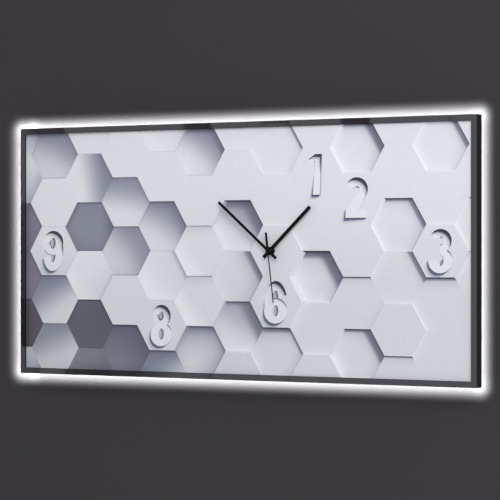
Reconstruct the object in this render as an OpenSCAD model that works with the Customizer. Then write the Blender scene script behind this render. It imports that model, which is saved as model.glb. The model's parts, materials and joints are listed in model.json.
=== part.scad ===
// Backlit wall clock: a wide face of hexagon tiles in relief, in a slim dark frame.
// Millimetres. The face looks towards -Y, +X is to its right and +Z is up.
// The origin is on the wall, midway between the two hanging points.

/* [Overall] */
// Width of the frame
clock_w = 600; // [480:10:760]
// Height of the frame
clock_h = 300; // [240:10:420]
// Gap behind the frame that lets the light out onto the wall
wall_gap = 16; // [15:0.5:26]

/* [Frame] */
// Depth of the frame from front to back
frame_depth = 15; // [14:0.5:22]
// Width of the front lip
lip_w = 7; // [5:0.5:9]
// Thickness of the front lip
lip_t = 2; // [1.2:0.1:3]
// Thickness of the side wall
rail_wall = 2; // [1.2:0.1:3]
// Width of the rear flange
flange_w = 10; // [8:0.5:11]
// Thickness of the rear flange
flange_t = 1.5; // [1:0.1:2]
// Leg length of the corner angles inside the rails
angle_leg = 40; // [36:1:60]
// Distance of the corner screws from the frame's corners
corner_screw_at = 30; // [20:1:33]
// Play of the pieces that sit in the rails' channel
channel_play = 0.25; // [0.1:0.05:0.4]

/* [Dial] */
// Side length of a hexagon tile
tile_side = 34; // [28:0.5:42]
// Height between two levels of the relief
tile_step = 0.5; // [0.3:0.05:0.7]
// Thickness left under the deepest tiles
floor_t = 2; // [1.5:0.1:2.5]
// Distance of the hands' arbor to the right of the middle
arbor_x = 46; // [0:1:120]
// Distance of the arbor's tile centre to the right of the arbor
tile_shift = 6; // [-10:1:10]

/* [Hands] */
// Length of the hour hand from the arbor
hour_len = 72.5; // [40:0.5:100]
// Width of the hour hand
hour_w = 4.3; // [2:0.1:6]
// Tail of the hour hand behind the arbor
hour_tail = 10.6; // [6:0.1:20]
// Length of the minute hand from the arbor
minute_len = 87; // [50:0.5:130]
// Width of the minute hand
minute_w = 3.3; // [1.5:0.1:5]
// Tail of the minute hand behind the arbor
minute_tail = 13; // [6:0.1:25]
// Length of the second hand from the arbor
second_len = 60; // [40:0.5:120]
// Width of the second hand's needle
second_w = 1.2; // [0.6:0.1:2]
// Counterweight tail of the second hand
second_tail = 21.5; // [10:0.5:40]
// Width of the counterweight tail
second_tail_w = 2.8; // [1:0.1:4]
// Thickness of the hands
hand_t = 0.6; // [0.4:0.1:1]
// Spacing of the hands along the arbor
hand_pitch = 2; // [1.6:0.1:3]
// Angle of the hour hand, clockwise from upright
hour_at = 45.8; // [0:0.1:360]
// Angle of the minute hand, clockwise from upright
minute_at = 310.9; // [0:0.1:360]
// Angle of the second hand, clockwise from upright
second_at = 173.2; // [0:0.1:360]

/* [Movement] */
// Width of the movement's case around the works
case_w = 56; // [55:0.5:64]
// Depth of the movement's case
case_depth = 16.5; // [16.5:0.5:20]
// Wall of the movement's case
case_wall = 1.2; // [1:0.1:1.4]
// How far the works' square sits below the arbor
case_drop = 1.5; // [1.5:0.5:3]
// Diameter of the battery
battery_d = 14.5; // [13.5:0.1:14.5]
// Length of the battery with its cap
battery_len = 50.5; // [48:0.5:50.5]
// Diameter of the threaded bushing
bushing_d = 7; // [7:0.1:8]
// Width across the flats of the fixing nut
nut_flats = 9.5; // [9:0.5:12]
// Thickness of the fixing nut
nut_t = 2; // [1.5:0.1:3]
// Thickness of the washer under the nut
washer_t = 0.5; // [0.3:0.1:1]
// Thickness of the rubber gasket behind the dial
gasket_t = 1; // [0.5:0.1:2]
// Diameter of the setting knob
knob_d = 11; // [8:0.5:14]
// Running clearance on the radius of every arbor
run_gap = 0.06; // [0.03:0.01:0.1]

/* [Backlight] */
// Distance of the backlight carrier from the frame's outer edge
led_inset = 12; // [11.5:0.5:30]
// Width of the carrier's bars
bar_w = 18; // [17:0.5:26]
// Width of the light strip
strip_w = 10; // [8:0.5:12]
// Thickness of the light strip
strip_t = 0.5; // [0.3:0.1:1]
// Spacing of the lamps along the strip
led_pitch = 16.7; // [10:0.1:40]
// Edge length of a lamp
led_size = 5; // [3:0.1:6]
// Height of a lamp
led_h = 1.6; // [0.8:0.1:2]
// Outer diameter of the supply socket's barrel
socket_d = 11; // [9:0.5:12]
// Bore of the supply socket
socket_bore_d = 5.7; // [5.5:0.1:6.5]
// Depth of the supply socket's bore
socket_depth = 10; // [8:0.5:12]
// Diameter of the supply leads
lead_d = 1.6; // [1:0.1:2]

/* [Hanging] */
// Distance between the two hanging points
hanger_spread = 400; // [200:10:400]
// Thickness of the hanger plates and the wall bumpers
hanger_t = 1.5; // [1.5:0.1:2.5]
// Diameter of a keyhole's entry
key_d = 9; // [8:0.5:10]
// Width of a keyhole's slot
key_slot_w = 4.2; // [3.5:0.1:5]

/* [Hidden] */
$fn = 64;

// Overlap that lets one cut run past a face
eps = 0.02;

// Depths along Y, from the wall at zero towards the front
frame_rear = -wall_gap;
frame_front = frame_rear - frame_depth;
lip_rear = frame_front + lip_t;
flange_front = frame_rear - flange_t;
tile_levels = 12;
panel_front = lip_rear;
panel_rear = panel_front + tile_levels * tile_step + floor_t;
bar_rear = -hanger_t;
bar_mid = (panel_rear + bar_rear) / 2;
case_front = panel_rear + gasket_t;
case_rear = case_front + case_depth;
case_floor = case_front + case_wall;
cover_front = case_rear - case_wall;

// Heights: the hanging points lie a little below the top bar's centre line, far above the face's middle
sub_w = clock_w - 2 * led_inset;
sub_h = clock_h - 2 * led_inset;
bar_rise = sub_h / 2 - bar_w / 2;
hanger_edge = 0.5;
hanger_h = bar_w - 2 * hanger_edge;
key_edge = 1;
key_drop = hanger_h / 2 - key_d / 2 - key_edge;
face_z = key_drop - bar_rise;

// Tiles by column and row from the arbor's own tile; odd columns sit half a row higher.
// Each set gives its level below the raised tiles. A tile in no set lies at the common level.
common_level = 2;
raised_tiles = [[0, 0], [0, -1], [4, 0]];
tile_sets = [
    [3, [[-2, 0], [5, 0]]],
    [4, [
        [-6, 1], [-3, 2], [-2, -1], [-1, 2], [-1, -3], [0, 2], [1, -2], [2, -1], [3, -1], [3, -3],
        [4, -1], [4, -2], [5, -1], [5, -2], [5, -3]
    ]],
    [5, [[-1, -1]]],
    [6, [[-5, 2], [-5, 1], [-4, 1], [-5, -1], [-3, -1], [0, -2], [3, 0], [4, 2]]],
    [7, [[-7, 2], [-7, 1], [-7, -3]]],
    [8, [[-6, -1], [2, 2], [2, -2]]],
    [9, [[-3, 0], [-2, 2], [-1, -2]]],
    [10, [[-7, -1], [-6, 2], [-6, -2], [-4, 0], [-3, -3], [-1, 0], [1, -1]]],
    [11, [[-5, -3], [-4, -2], [-2, -2]]],
    [12, [[-7, 0], [-7, -2], [-5, 0], [-5, -2]]]
];

// Fastener sizes
screw_r = 1.5;
screw_play = 0.2;
thread_play = 0.05;
pan_head_r = 2.8;
pan_head_h = 1.6;
wood_screw_r = 1.25;
wood_screw_depth = 10;
pilot_end = 0.5;
flush_head_r = 2.4;

// Corner angles, braces and clips
flange_mid = (rail_wall + flange_w) / 2;
brace_leg = 25;
brace_t = 1.5;
brace_w = 12;
brace_screw_at = 16;
clip_leg = 13;
clip_t = 1.6;
clip_lap = 0.3;

// Hanger plates and bumpers
hanger_w = 44;
hanger_cut = 2.5;
hanger_screw_at = 16;
key_rise = 5;
key_room = 0.3;
screw_head_r = 4;
key_pocket_depth = 9;
bumper_r = 5.5;
bumper_at = 30;

// Light strip
strip_forward = 1;
strip_mid = -wall_gap / 2 - strip_forward;
strip_rear = strip_mid + strip_w / 2;
strip_front = strip_mid - strip_w / 2;
led_end = 18;

// Supply socket, on the bottom bar
socket_x = 0;
socket_flange_r = 7;
socket_flange_t = 2;
socket_stand = 5;
socket_nut_t = 2.5;
socket_nut_r = 7.9;
socket_pin_r = 1.05;
socket_pin_inset = 1;
socket_rim = face_z - sub_h / 2 - socket_flange_t;
socket_top = socket_rim + socket_flange_t + bar_w + socket_stand;
tab_h = 4;
tab_w = 1.8;
tab_t = 0.7;
lead_spread = 4;
lead_arc_r = 7;
lead_rise = 3;
strip_clear = 2;
strip_gap = socket_flange_r + strip_clear;
lead_gap = 0.05;

// Stack of washer, nut, bushing and hands in front of the dial
hub_y = panel_front;
nut_front = hub_y - washer_t - nut_t;
bushing_stand = 0.5;
bushing_front = nut_front - bushing_stand;
hour_stand = 1.4;
hour_y = bushing_front - hour_stand;
minute_y = hour_y - hand_pitch;
second_y = minute_y - hand_pitch;
pipe_stand = 0.2;
boss_ring = 1.4;
second_boss_ring = 0.6;

// Coaxial arbors: the second arbor turns in the minute arbor, and that in the hour pipe
second_r = 0.45;
minute_r = 1.4;
hour_r = bushing_d / 2 - 1.3;
minute_bore_r = second_r + run_gap;
hour_bore_r = minute_r + run_gap;
bushing_bore_r = hour_r + run_gap;
press_gap = 0.02;

// Tooth counts: 30 steps of half a turn a minute at the rotor, 60 to the hour and 12 to the half day
rotor_teeth = 8;
fifth_teeth = 48;
fifth_pinion = 8;
second_teeth = 40;
second_pinion = 8;
third_teeth = 60;
third_pinion = 8;
centre_teeth = 64;
cannon_teeth = 12;
minute_teeth = 36;
minute_pinion = 12;
hour_teeth = 48;
knob_teeth = 16;

// Modules; the second pair on an axis takes the one that gives the same centre distance
rotor_module = 0.3;
fifth_module = 0.54;
second_module = 0.36;
third_module = second_module * (second_pinion + third_teeth) / (third_pinion + centre_teeth);
motion_module = 0.4;
hour_module = motion_module * (cannon_teeth + minute_teeth) / (minute_pinion + hour_teeth);

// Tooth form, in modules
pressure_angle = 20;
pinion_addendum = 0.8;
wheel_addendum = 0.7;
dedendum = 1.2;
tooth_thinning = 0.2;
pinion_limit = 16;

// Levels of the wheels inside the case
wheel_t = 1;
layer_start = 0.3;
layer_end = 3.05;
layer_last = 5;
layer_pitch = (cover_front - case_floor - layer_start - wheel_t - layer_end) / layer_last;
pinion_lap = 0.25;

// Directions in which one axis lies from the next
third_way = 60;
fifth_way = 180;
rotor_way = 120;
motion_way = 0;

// Where the axes are, from the arbor
third_pos = polar(mesh(second_pinion, third_teeth, second_module), third_way);
fifth_pos = polar(mesh(fifth_pinion, second_teeth, fifth_module), fifth_way);
rotor_pos = fifth_pos + polar(mesh(rotor_teeth, fifth_teeth, rotor_module), rotor_way);
minute_pos = polar(mesh(cannon_teeth, minute_teeth, motion_module), motion_way);
knob_pos = minute_pos + polar(mesh(minute_teeth, knob_teeth, motion_module), motion_way);

// Bearings and posts
pivot_r = 0.5;
boss_r = 1.2;
boss_h = 1.5;
pivot_in = 0.9;
pivot_end = 0.2;
arbor_gap = 0.3;
post_r = 0.75;
knob_shaft_r = 1.2;
knob_pivot_r = 0.8;
knob_boss_r = 1.8;
knob_boss_gap = 0.45;
knob_t = 1.8;
knob_gap = 0.3;
knob_flutes = 24;
flute_depth = 0.35;

// Motor
magnet_r = 3;
magnet_len = 3;
magnet_rise = 0.6;
magnet_front = layer(2) + magnet_rise;
stator_t = 0.8;
stator_front = magnet_front + (magnet_len - stator_t) / 2;
stator_hole_r = 3.45;
stator_left = -25.5;
stator_right = -6.5;
stator_low = 2.5;
stator_high = 11.5;
lug_w = 3;
core_half = 0.8;
core_z = 19.5;
coil_r = 3.2;
coil_flange_r = 3.8;
coil_flange_t = 0.8;
coil_len = 14.6;
core_gap = 0.05;

// Circuit board
board_left = 3;
board_right = 26;
board_low = 12.5;
board_high = 24;
board_t = 0.8;
board_stand = 2.1;
board_post_r = 1;
board_posts = [[6, 22], [23, 22]];
stator_posts = [[-24, 4.2], [-8, 13.5]];
chip_r = 2.4;
chip_t = 0.9;
chip_pos = [12, 18];
crystal_r = 1;
crystal_len = 6;
crystal_pos = [18, 20.5];

// Battery bay at the bottom of the case
case_top = case_w / 2 - case_drop;
case_chamfer = 1.2;
bay_play = 0.3;
bay_wall_z = -13.2;
bay_wall_t = 1;
battery_r = battery_d / 2;
battery_z = bay_wall_z - bay_play - battery_r;
battery_y = case_floor + bay_play + battery_r;
case_bottom = battery_z - battery_r - bay_play - case_wall;
contact_room = 1.55;
bay_half = battery_len / 2 + contact_room + case_wall;
cap_r = 2.7;
cap_len = 1;
contact_t = 0.4;
contact_w = 7;
contact_gap = 0.05;
contact_slot = 2.2;
contact_half = 5;

// Geometry helpers
function polar(d, a) = [d * cos(a), d * sin(a)];
function mesh(a, b, m) = (a + b) * m / 2;
function layer(i) = case_floor + layer_start + i * layer_pitch;
function tile_y(level) = panel_front + level * tile_step;
function tile_pos(t) = [
    arbor_x + tile_shift + 1.5 * tile_side * t[0],
    sqrt(3) * tile_side * (t[1] + (t[0] % 2 == 0 ? 0 : 0.5))
];

// Drawing in the plane of the face, then a slab from one depth to another
module slab(y0, y1) translate([0, y1, 0]) rotate([90, 0, 0]) linear_extrude(y1 - y0) children();
module on_face() translate([0, 0, face_z]) children();
module on_arbor() translate([arbor_x, 0, face_z]) children();
module at(p) translate([p[0], 0, p[1]]) children();
module four_corners() for (a = [0, 1], b = [0, 1]) mirror([a, 0, 0]) mirror([0, 0, b]) children();
module rod(r, y0, y1) slab(y0, y1) circle(r);
module tube(r, bore, y0, y1) difference() {
    rod(r, y0, y1);
    rod(bore, y0 - 1, y1 + 1);
}

// A pan-head screw that enters along +Z, with its head below the origin
module pan_screw(r, len) {
    cylinder(r = r, h = len);
    translate([0, 0, -pan_head_h]) cylinder(r = pan_head_r, h = pan_head_h);
}

// Involute teeth: half of a tooth's angle at a radius
function involute(r, base) = r <= base ? 0 : sqrt(pow(r / base, 2) - 1) * 180 / PI - acos(base / r);
function half_tooth(n, m, r) =
    let (pitch_r = n * m / 2, base = pitch_r * cos(pressure_angle))
    90 / n - tooth_thinning / n * 180 / PI + involute(pitch_r, base) - involute(r, base);
function flank_radii(n, m) =
    let (
        pitch_r = n * m / 2,
        root = pitch_r - dedendum * m,
        base = pitch_r * cos(pressure_angle),
        tip = pitch_r + m * (n <= pinion_limit ? pinion_addendum : wheel_addendum)
    )
    root > base ? [root, pitch_r, tip] : [root, base, pitch_r + 0.3 * m, tip];
function tooth(n, m, at) =
    let (radii = flank_radii(n, m), last = len(radii) - 1)
    concat(
        [for (r = radii) polar(r, at - half_tooth(n, m, r))],
        [for (i = [last:-1:0]) polar(radii[i], at + half_tooth(n, m, radii[i]))]
    );
// A wheel has a tooth, or else a gap, in the given direction
module gear(n, m, way, gap = false)
    polygon([for (i = [0:n - 1]) each tooth(n, m, way + (i + (gap ? 0.5 : 0)) * 360 / n)]);
module gear_slab(n, m, way, y0, y1, gap = false) slab(y0, y1) gear(n, m, way, gap);

// Frame: a channel section of front lip, side wall and rear flange, mitred at the corners
corner_spots = [
    for (sx = [-1, 1], sz = [-1, 1])
    each [
        [sx * (clock_w / 2 - corner_screw_at), sz * (clock_h / 2 - flange_mid)],
        [sx * (clock_w / 2 - flange_mid), sz * (clock_h / 2 - corner_screw_at)]
    ]
];
mitre_past = 1;
mitre = flange_w + mitre_past;
mitre_long = [
    [-clock_w / 2, clock_h / 2], [clock_w / 2, clock_h / 2],
    [clock_w / 2 - mitre, clock_h / 2 - mitre], [-clock_w / 2 + mitre, clock_h / 2 - mitre]
];
mitre_short = [
    [clock_w / 2, clock_h / 2], [clock_w / 2, -clock_h / 2],
    [clock_w / 2 - mitre, -clock_h / 2 + mitre], [clock_w / 2 - mitre, clock_h / 2 - mitre]
];
module face_rect(inset) square([clock_w - 2 * inset, clock_h - 2 * inset], center = true);
module rail(outline) color([0.16, 0.155, 0.17]) on_face() difference() {
    slab(frame_front, frame_rear) polygon(outline);
    slab(frame_front - 1, lip_rear + eps) face_rect(lip_w);
    slab(lip_rear, flange_front) face_rect(rail_wall);
    slab(flange_front - eps, frame_rear + 1) face_rect(flange_w);
    for (p = corner_spots) at(p) rod(screw_r + screw_play, flange_front - 1, frame_rear + 1);
}
module frame_top_rail() rail(mitre_long);
module frame_bottom_rail() rail(-mitre_long);
module frame_right_rail() rail(mitre_short);
module frame_left_rail() rail(-mitre_short);

angle_front = panel_rear + channel_play;
angle_rear = flange_front - channel_play;
module corner_angles() color("silver") on_face() difference() {
    four_corners() slab(angle_front, angle_rear) {
        outer = rail_wall + channel_play;
        inner = flange_w - channel_play;
        translate([clock_w / 2 - angle_leg, clock_h / 2 - inner])
            square([angle_leg - outer, inner - outer]);
        translate([clock_w / 2 - inner, clock_h / 2 - angle_leg])
            square([inner - outer, angle_leg - outer]);
    }
    for (p = corner_spots) at(p) rod(screw_r + thread_play, angle_front - 1, angle_rear + 1);
}
module corner_screws() color("silver") on_face() for (p = corner_spots) at(p)
    translate([0, frame_rear, 0]) rotate([90, 0, 0]) pan_screw(screw_r, frame_rear - angle_front);

// Dial: one moulded panel whose hexagon tiles stand at many levels inside a plain rim
panel_edge = rail_wall + channel_play;
rim_under_lip = 1;
rim_edge = lip_w - rim_under_lip;
tile_lap = 0.02;
module tiles(list, y0, y1) slab(y0, y1) for (t = list)
    translate(tile_pos(t)) circle(tile_side + tile_lap, $fn = 6);
module dial_panel() color([0.86, 0.88, 0.91]) on_face() difference() {
    union() {
        slab(tile_y(common_level), panel_rear) face_rect(panel_edge);
        slab(panel_front, panel_rear) difference() {
            face_rect(panel_edge);
            face_rect(rim_edge);
        }
        intersection() {
            tiles(raised_tiles, panel_front, panel_rear);
            slab(panel_front, panel_rear) face_rect(panel_edge);
        }
    }
    intersection() {
        union() {
            for (s = tile_sets) tiles(s[1], panel_front - 1, tile_y(s[0]));
        }
        slab(panel_front - 1, panel_rear) face_rect(rim_edge);
    }
    at([arbor_x, 0]) rod(bushing_d / 2 + screw_play, panel_front - 1, panel_rear + 1);
}

// Carrier of the backlight: four wooden bars behind the dial, butted at the corners and braced
socket_y = bar_mid;
brace_x = sub_w / 2 - bar_w;
brace_z = sub_h / 2 - bar_w;
module bar_blank(size) slab(panel_rear, bar_rear) square(size, center = true);
module brace_pilots_up() for (s = [-1, 1])
    translate([s * (brace_x - brace_screw_at), bar_mid, brace_z - 1])
        cylinder(r = wood_screw_r + thread_play, h = wood_screw_depth + pilot_end + 1);
module brace_pilots_side() for (s = [-1, 1])
    translate([brace_x - 1, bar_mid, s * (brace_z - brace_screw_at)]) rotate([0, 90, 0])
        cylinder(r = wood_screw_r + thread_play, h = wood_screw_depth + pilot_end + 1);
hanger_spots = [for (s = [-1, 1]) [s * hanger_spread / 2, 0]];
hanger_screw_spots = [for (h = hanger_spots, s = [-1, 1]) [h[0] + s * hanger_screw_at, key_drop]];
lead_rows = [socket_y - lead_spread / 2, socket_y + lead_spread / 2];
lead_hole_x = socket_x + 2 * lead_arc_r;

module subframe_top_bar() color("burlywood") difference() {
    at([0, key_drop]) bar_blank([sub_w, bar_w]);
    for (h = hanger_spots) at(h) slab(bar_rear - key_pocket_depth, bar_rear + 1)
        translate([-key_d / 2 - key_room, -key_d / 2 - key_room])
            square([key_d + 2 * key_room, key_d / 2 + key_rise + screw_head_r + 2 * key_room]);
    for (p = hanger_screw_spots) at(p)
        rod(wood_screw_r + thread_play, bar_rear - wood_screw_depth, bar_rear + 1);
    on_face() brace_pilots_up();
}
module subframe_bottom_bar() color("burlywood") on_face() difference() {
    translate([0, 0, -bar_rise]) bar_blank([sub_w, bar_w]);
    mirror([0, 0, 1]) brace_pilots_up();
    translate([socket_x, socket_y, -sub_h / 2 - 1])
        cylinder(d = socket_d + 2 * screw_play, h = bar_w + 2);
    for (y = lead_rows) translate([lead_hole_x, y, -sub_h / 2 - 1])
        cylinder(d = lead_d + 2 * screw_play, h = bar_w + 2);
}
module side_bar() color("burlywood") on_face() difference() {
    translate([sub_w / 2 - bar_w / 2, 0, 0]) bar_blank([bar_w, sub_h - 2 * bar_w]);
    brace_pilots_side();
}
module subframe_right_bar() side_bar();
module subframe_left_bar() mirror([1, 0, 0]) side_bar();

module subframe_braces() color("silver") on_face() four_corners() difference() {
    slab(bar_mid - brace_w / 2, bar_mid + brace_w / 2) {
        translate([brace_x - brace_t, brace_z - brace_leg]) square([brace_t, brace_leg]);
        translate([brace_x - brace_leg, brace_z - brace_t]) square([brace_leg, brace_t]);
    }
    translate([brace_x - brace_screw_at, bar_mid, brace_z - brace_t - 1])
        cylinder(r = wood_screw_r + screw_play, h = brace_t + 2);
    translate([brace_x - brace_t - 1, bar_mid, brace_z - brace_screw_at]) rotate([0, 90, 0])
        cylinder(r = wood_screw_r + screw_play, h = brace_t + 2);
}
module brace_screws() color("silver") on_face() four_corners() {
    translate([brace_x - brace_screw_at, bar_mid, brace_z - brace_t])
        pan_screw(wood_screw_r, brace_t + wood_screw_depth);
    translate([brace_x - brace_t, bar_mid, brace_z - brace_screw_at]) rotate([0, 90, 0])
        pan_screw(wood_screw_r, brace_t + wood_screw_depth);
}

// Hanger plates with keyholes, flush-head screws, and bumpers that keep the clock off the wall
module flush_head(grow) rotate([90, 0, 0])
    cylinder(r1 = flush_head_r + grow, r2 = wood_screw_r + grow, h = hanger_t);
module hanger_plates() color("silver") difference() {
    for (h = hanger_spots) at(h + [0, key_drop]) slab(-hanger_t, 0) polygon([
        for (sx = [1, -1], step = [0, 1])
        let (sz = sx * (step == 0 ? 1 : -1), end = sx * hanger_w / 2, side = sz * hanger_h / 2)
        each step == 0
            ? [[end - sx * hanger_cut, side], [end, side - sz * hanger_cut]]
            : [[end, side - sz * hanger_cut], [end - sx * hanger_cut, side]]
    ]);
    for (h = hanger_spots) at(h) {
        rod(key_d / 2, -hanger_t - 1, 1);
        slab(-hanger_t - 1, 1) translate([-key_slot_w / 2, 0]) square([key_slot_w, key_rise]);
        at([0, key_rise]) rod(key_slot_w / 2, -hanger_t - 1, 1);
    }
    for (p = hanger_screw_spots) at(p) flush_head(thread_play);
}
module hanger_screws() color("silver") for (p = hanger_screw_spots) at(p) {
    flush_head(0);
    rod(wood_screw_r, bar_rear - wood_screw_depth + pilot_end, bar_rear);
}
module wall_bumpers() color([0.1, 0.1, 0.1]) on_face() for (s = [-1, 1])
    at([s * (sub_w / 2 - bumper_at), -bar_rise]) rod(bumper_r, bar_rear, 0);

// Light strips on the outer sides of the carrier, lamps outwards
half_strip = sub_w / 2 - strip_gap;
module strip(size) color("whitesmoke") slab(strip_front, strip_rear) square(size, center = true);
module led_strip_top() on_face() translate([0, 0, sub_h / 2 + strip_t / 2]) strip([sub_w, strip_t]);
module led_strip_right() on_face() translate([sub_w / 2 + strip_t / 2, 0, 0]) strip([strip_t, sub_h]);
module led_strip_left() on_face() translate([-sub_w / 2 - strip_t / 2, 0, 0]) strip([strip_t, sub_h]);
module half_bottom_strip(s)
    on_face() translate([socket_x + s * (strip_gap + half_strip / 2), 0, -sub_h / 2 - strip_t / 2])
        strip([half_strip, strip_t]);
module led_strip_bottom_left() half_bottom_strip(-1);
module led_strip_bottom_right() half_bottom_strip(1);

function led_row(len) =
    let (n = floor((len - 2 * led_end) / led_pitch))
    [for (i = [0:n]) (i - n / 2) * led_pitch];
module lamp() translate([0, strip_mid, led_h / 2]) cube([led_size, led_size, led_h], center = true);
module led_chips() color([1, 0.98, 0.92]) on_face() {
    for (x = led_row(sub_w)) {
        translate([x, 0, sub_h / 2 + strip_t]) lamp();
        if (abs(x - socket_x) > strip_gap + led_size / 2)
            translate([x, 0, -sub_h / 2 - strip_t]) mirror([0, 0, 1]) lamp();
    }
    for (z = led_row(sub_h), s = [-1, 1])
        translate([s * (sub_w / 2 + strip_t), 0, z]) rotate([0, s * 90, 0]) lamp();
}
module led_corner_clips() color("white") on_face() four_corners()
    slab(strip_front - clip_lap, strip_rear + clip_lap) {
        x = sub_w / 2 + strip_t;
        z = sub_h / 2 + strip_t;
        translate([x - clip_leg, z]) square([clip_leg + clip_t, clip_t]);
        translate([x, z - clip_leg]) square([clip_t, clip_leg + clip_t]);
    }

// Supply socket in the bottom bar, opening downwards, and its two leads to the strip
module dc_socket() color([0.08, 0.08, 0.08]) translate([socket_x, socket_y, socket_rim]) {
    difference() {
        union() {
            cylinder(r = socket_flange_r, h = socket_flange_t);
            cylinder(d = socket_d, h = socket_top - socket_rim);
        }
        translate([0, 0, -1]) cylinder(d = socket_bore_d, h = socket_depth + 1);
    }
    for (s = [-1, 1]) translate([-tab_w / 2, s * lead_spread / 2 - tab_t / 2, socket_top - socket_rim])
        cube([tab_w, tab_t, tab_h]);
}
module dc_centre_pin() color("goldenrod")
    translate([socket_x, socket_y, socket_rim + socket_pin_inset])
        cylinder(r = socket_pin_r, h = socket_depth - socket_pin_inset);
module dc_socket_nut() color("silver")
    translate([socket_x, socket_y, socket_rim + socket_flange_t + bar_w]) difference() {
        cylinder(r = socket_nut_r, h = socket_nut_t, $fn = 6);
        translate([0, 0, -1]) cylinder(d = socket_d + 2 * thread_play, h = socket_nut_t + 2);
    }

// A lead climbs from its tab, bends over in half a circle and drops through the bar to the strip
lead_sides = 8;
lead_bend_steps = 12;
lead_start = socket_top + tab_h + lead_gap;
lead_end = socket_rim + socket_flange_t + lead_gap;
lead_route = concat(
    [[socket_x, lead_start, 180]],
    [
        for (i = [0:lead_bend_steps])
        let (a = 180 - 180 * i / lead_bend_steps)
        [socket_x + lead_arc_r + lead_arc_r * cos(a), lead_start + lead_rise + lead_arc_r * sin(a), a]
    ],
    [[lead_hole_x, lead_end, 0]]
);
module lead(y) {
    rings = len(lead_route);
    points = [
        for (p = lead_route, k = [0:lead_sides - 1])
        let (a = 360 * k / lead_sides, out = lead_d / 2 * cos(a))
        [p[0] + out * cos(p[2]), y + lead_d / 2 * sin(a), p[1] + out * sin(p[2])]
    ];
    walls = [
        for (i = [0:rings - 2], k = [0:lead_sides - 1])
        let (j = (k + 1) % lead_sides, a = i * lead_sides, b = a + lead_sides)
        each [[a + k, b + k, a + j], [a + j, b + k, b + j]]
    ];
    first_cap = [for (k = [0:lead_sides - 1]) k];
    last_cap = [for (k = [lead_sides - 1:-1:0]) (rings - 1) * lead_sides + k];
    polyhedron(points, concat(walls, [first_cap, last_cap]));
}
module supply_lead_red() color("firebrick") lead(lead_rows[0]);
module supply_lead_black() color([0.06, 0.06, 0.06]) lead(lead_rows[1]);

// Movement case: an open box with the arbor's pedestal, bearings, posts and the battery bay
module works_outline(inset) {
    w = case_w / 2 - inset;
    top = case_top - inset;
    c = case_chamfer;
    polygon([
        [-w, bay_wall_z], [w, bay_wall_z], [w, top - c], [w - c, top], [-w + c, top], [-w, top - c]
    ]);
}
module bay_outline(inset, top) {
    w = bay_half - inset;
    low = case_bottom + inset;
    c = case_chamfer;
    polygon([[-w + c, low], [w - c, low], [w, low + c], [w, top], [-w, top], [-w, low + c]]);
}
module boss(p, y_top, pin_r) at(p) difference() {
    rod(boss_r, case_floor - eps, y_top);
    rod(pin_r + run_gap, y_top - pivot_in - pivot_end, y_top + 1);
}
third_boss_y = layer(2) - pinion_lap - pivot_end;
fifth_boss_y = layer(4) - pinion_lap - pivot_end;
rotor_boss_y = magnet_front - pivot_end;
knob_boss_y = layer(1) - knob_boss_gap;
module movement_case() color([0.09, 0.09, 0.1]) on_arbor() {
    difference() {
        union() {
            difference() {
                slab(case_front, cover_front) {
                    works_outline(0);
                    bay_outline(0, bay_wall_z + bay_wall_t);
                }
                slab(case_floor, cover_front + 1) {
                    works_outline(case_wall);
                    bay_outline(case_wall, bay_wall_z);
                }
            }
            rod(bushing_d, panel_rear + thread_play, case_front + eps);
            slab(case_floor - eps, cover_front) translate([-bay_half + case_wall / 2, bay_wall_z])
                square([2 * bay_half - case_wall / 2 - contact_slot - case_wall, bay_wall_t]);
        }
        rod(bushing_d / 2 + press_gap, panel_rear - 1, case_floor + 1);
    }
    boss(third_pos, third_boss_y, pivot_r);
    boss(fifth_pos, fifth_boss_y, pivot_r);
    boss(rotor_pos, rotor_boss_y, pivot_r);
    at(minute_pos) rod(post_r, case_floor - eps, layer(2) - 2 * pivot_end);
    at(knob_pos) tube(knob_boss_r, knob_pivot_r + run_gap, case_floor - eps, knob_boss_y);
    for (p = stator_posts) at(p) rod(board_post_r, case_floor - eps, stator_front);
}
module cover_boss(p, pin_r) at(p) tube(boss_r, pin_r + run_gap, cover_front - boss_h, cover_front + eps);
module movement_cover() color([0.12, 0.12, 0.13]) on_arbor() {
    difference() {
        slab(cover_front, case_rear) works_outline(0);
        at(knob_pos) rod(knob_shaft_r + run_gap, cover_front - 1, case_rear + 1);
    }
    cover_boss([0, 0], second_r);
    for (p = [third_pos, fifth_pos, rotor_pos]) cover_boss(p, pivot_r);
    for (p = board_posts) at(p) rod(board_post_r, cover_front - board_stand, cover_front + eps);
}
module threaded_bushing() color("goldenrod") on_arbor()
    tube(bushing_d / 2, bushing_bore_r, bushing_front, case_floor);
module rubber_gasket() color([0.15, 0.15, 0.15]) on_arbor()
    tube(bushing_d * 2, bushing_d + screw_play, panel_rear, case_front);
module dial_washer() color([0.2, 0.2, 0.2]) on_arbor()
    tube(nut_flats / 2, bushing_d / 2 + thread_play, hub_y - washer_t, hub_y);
module fixing_nut() color([0.1, 0.1, 0.1]) on_arbor() difference() {
    slab(nut_front, hub_y - washer_t) circle(nut_flats / sqrt(3), $fn = 6);
    rod(bushing_d / 2 + thread_play, nut_front - 1, hub_y);
}

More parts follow.
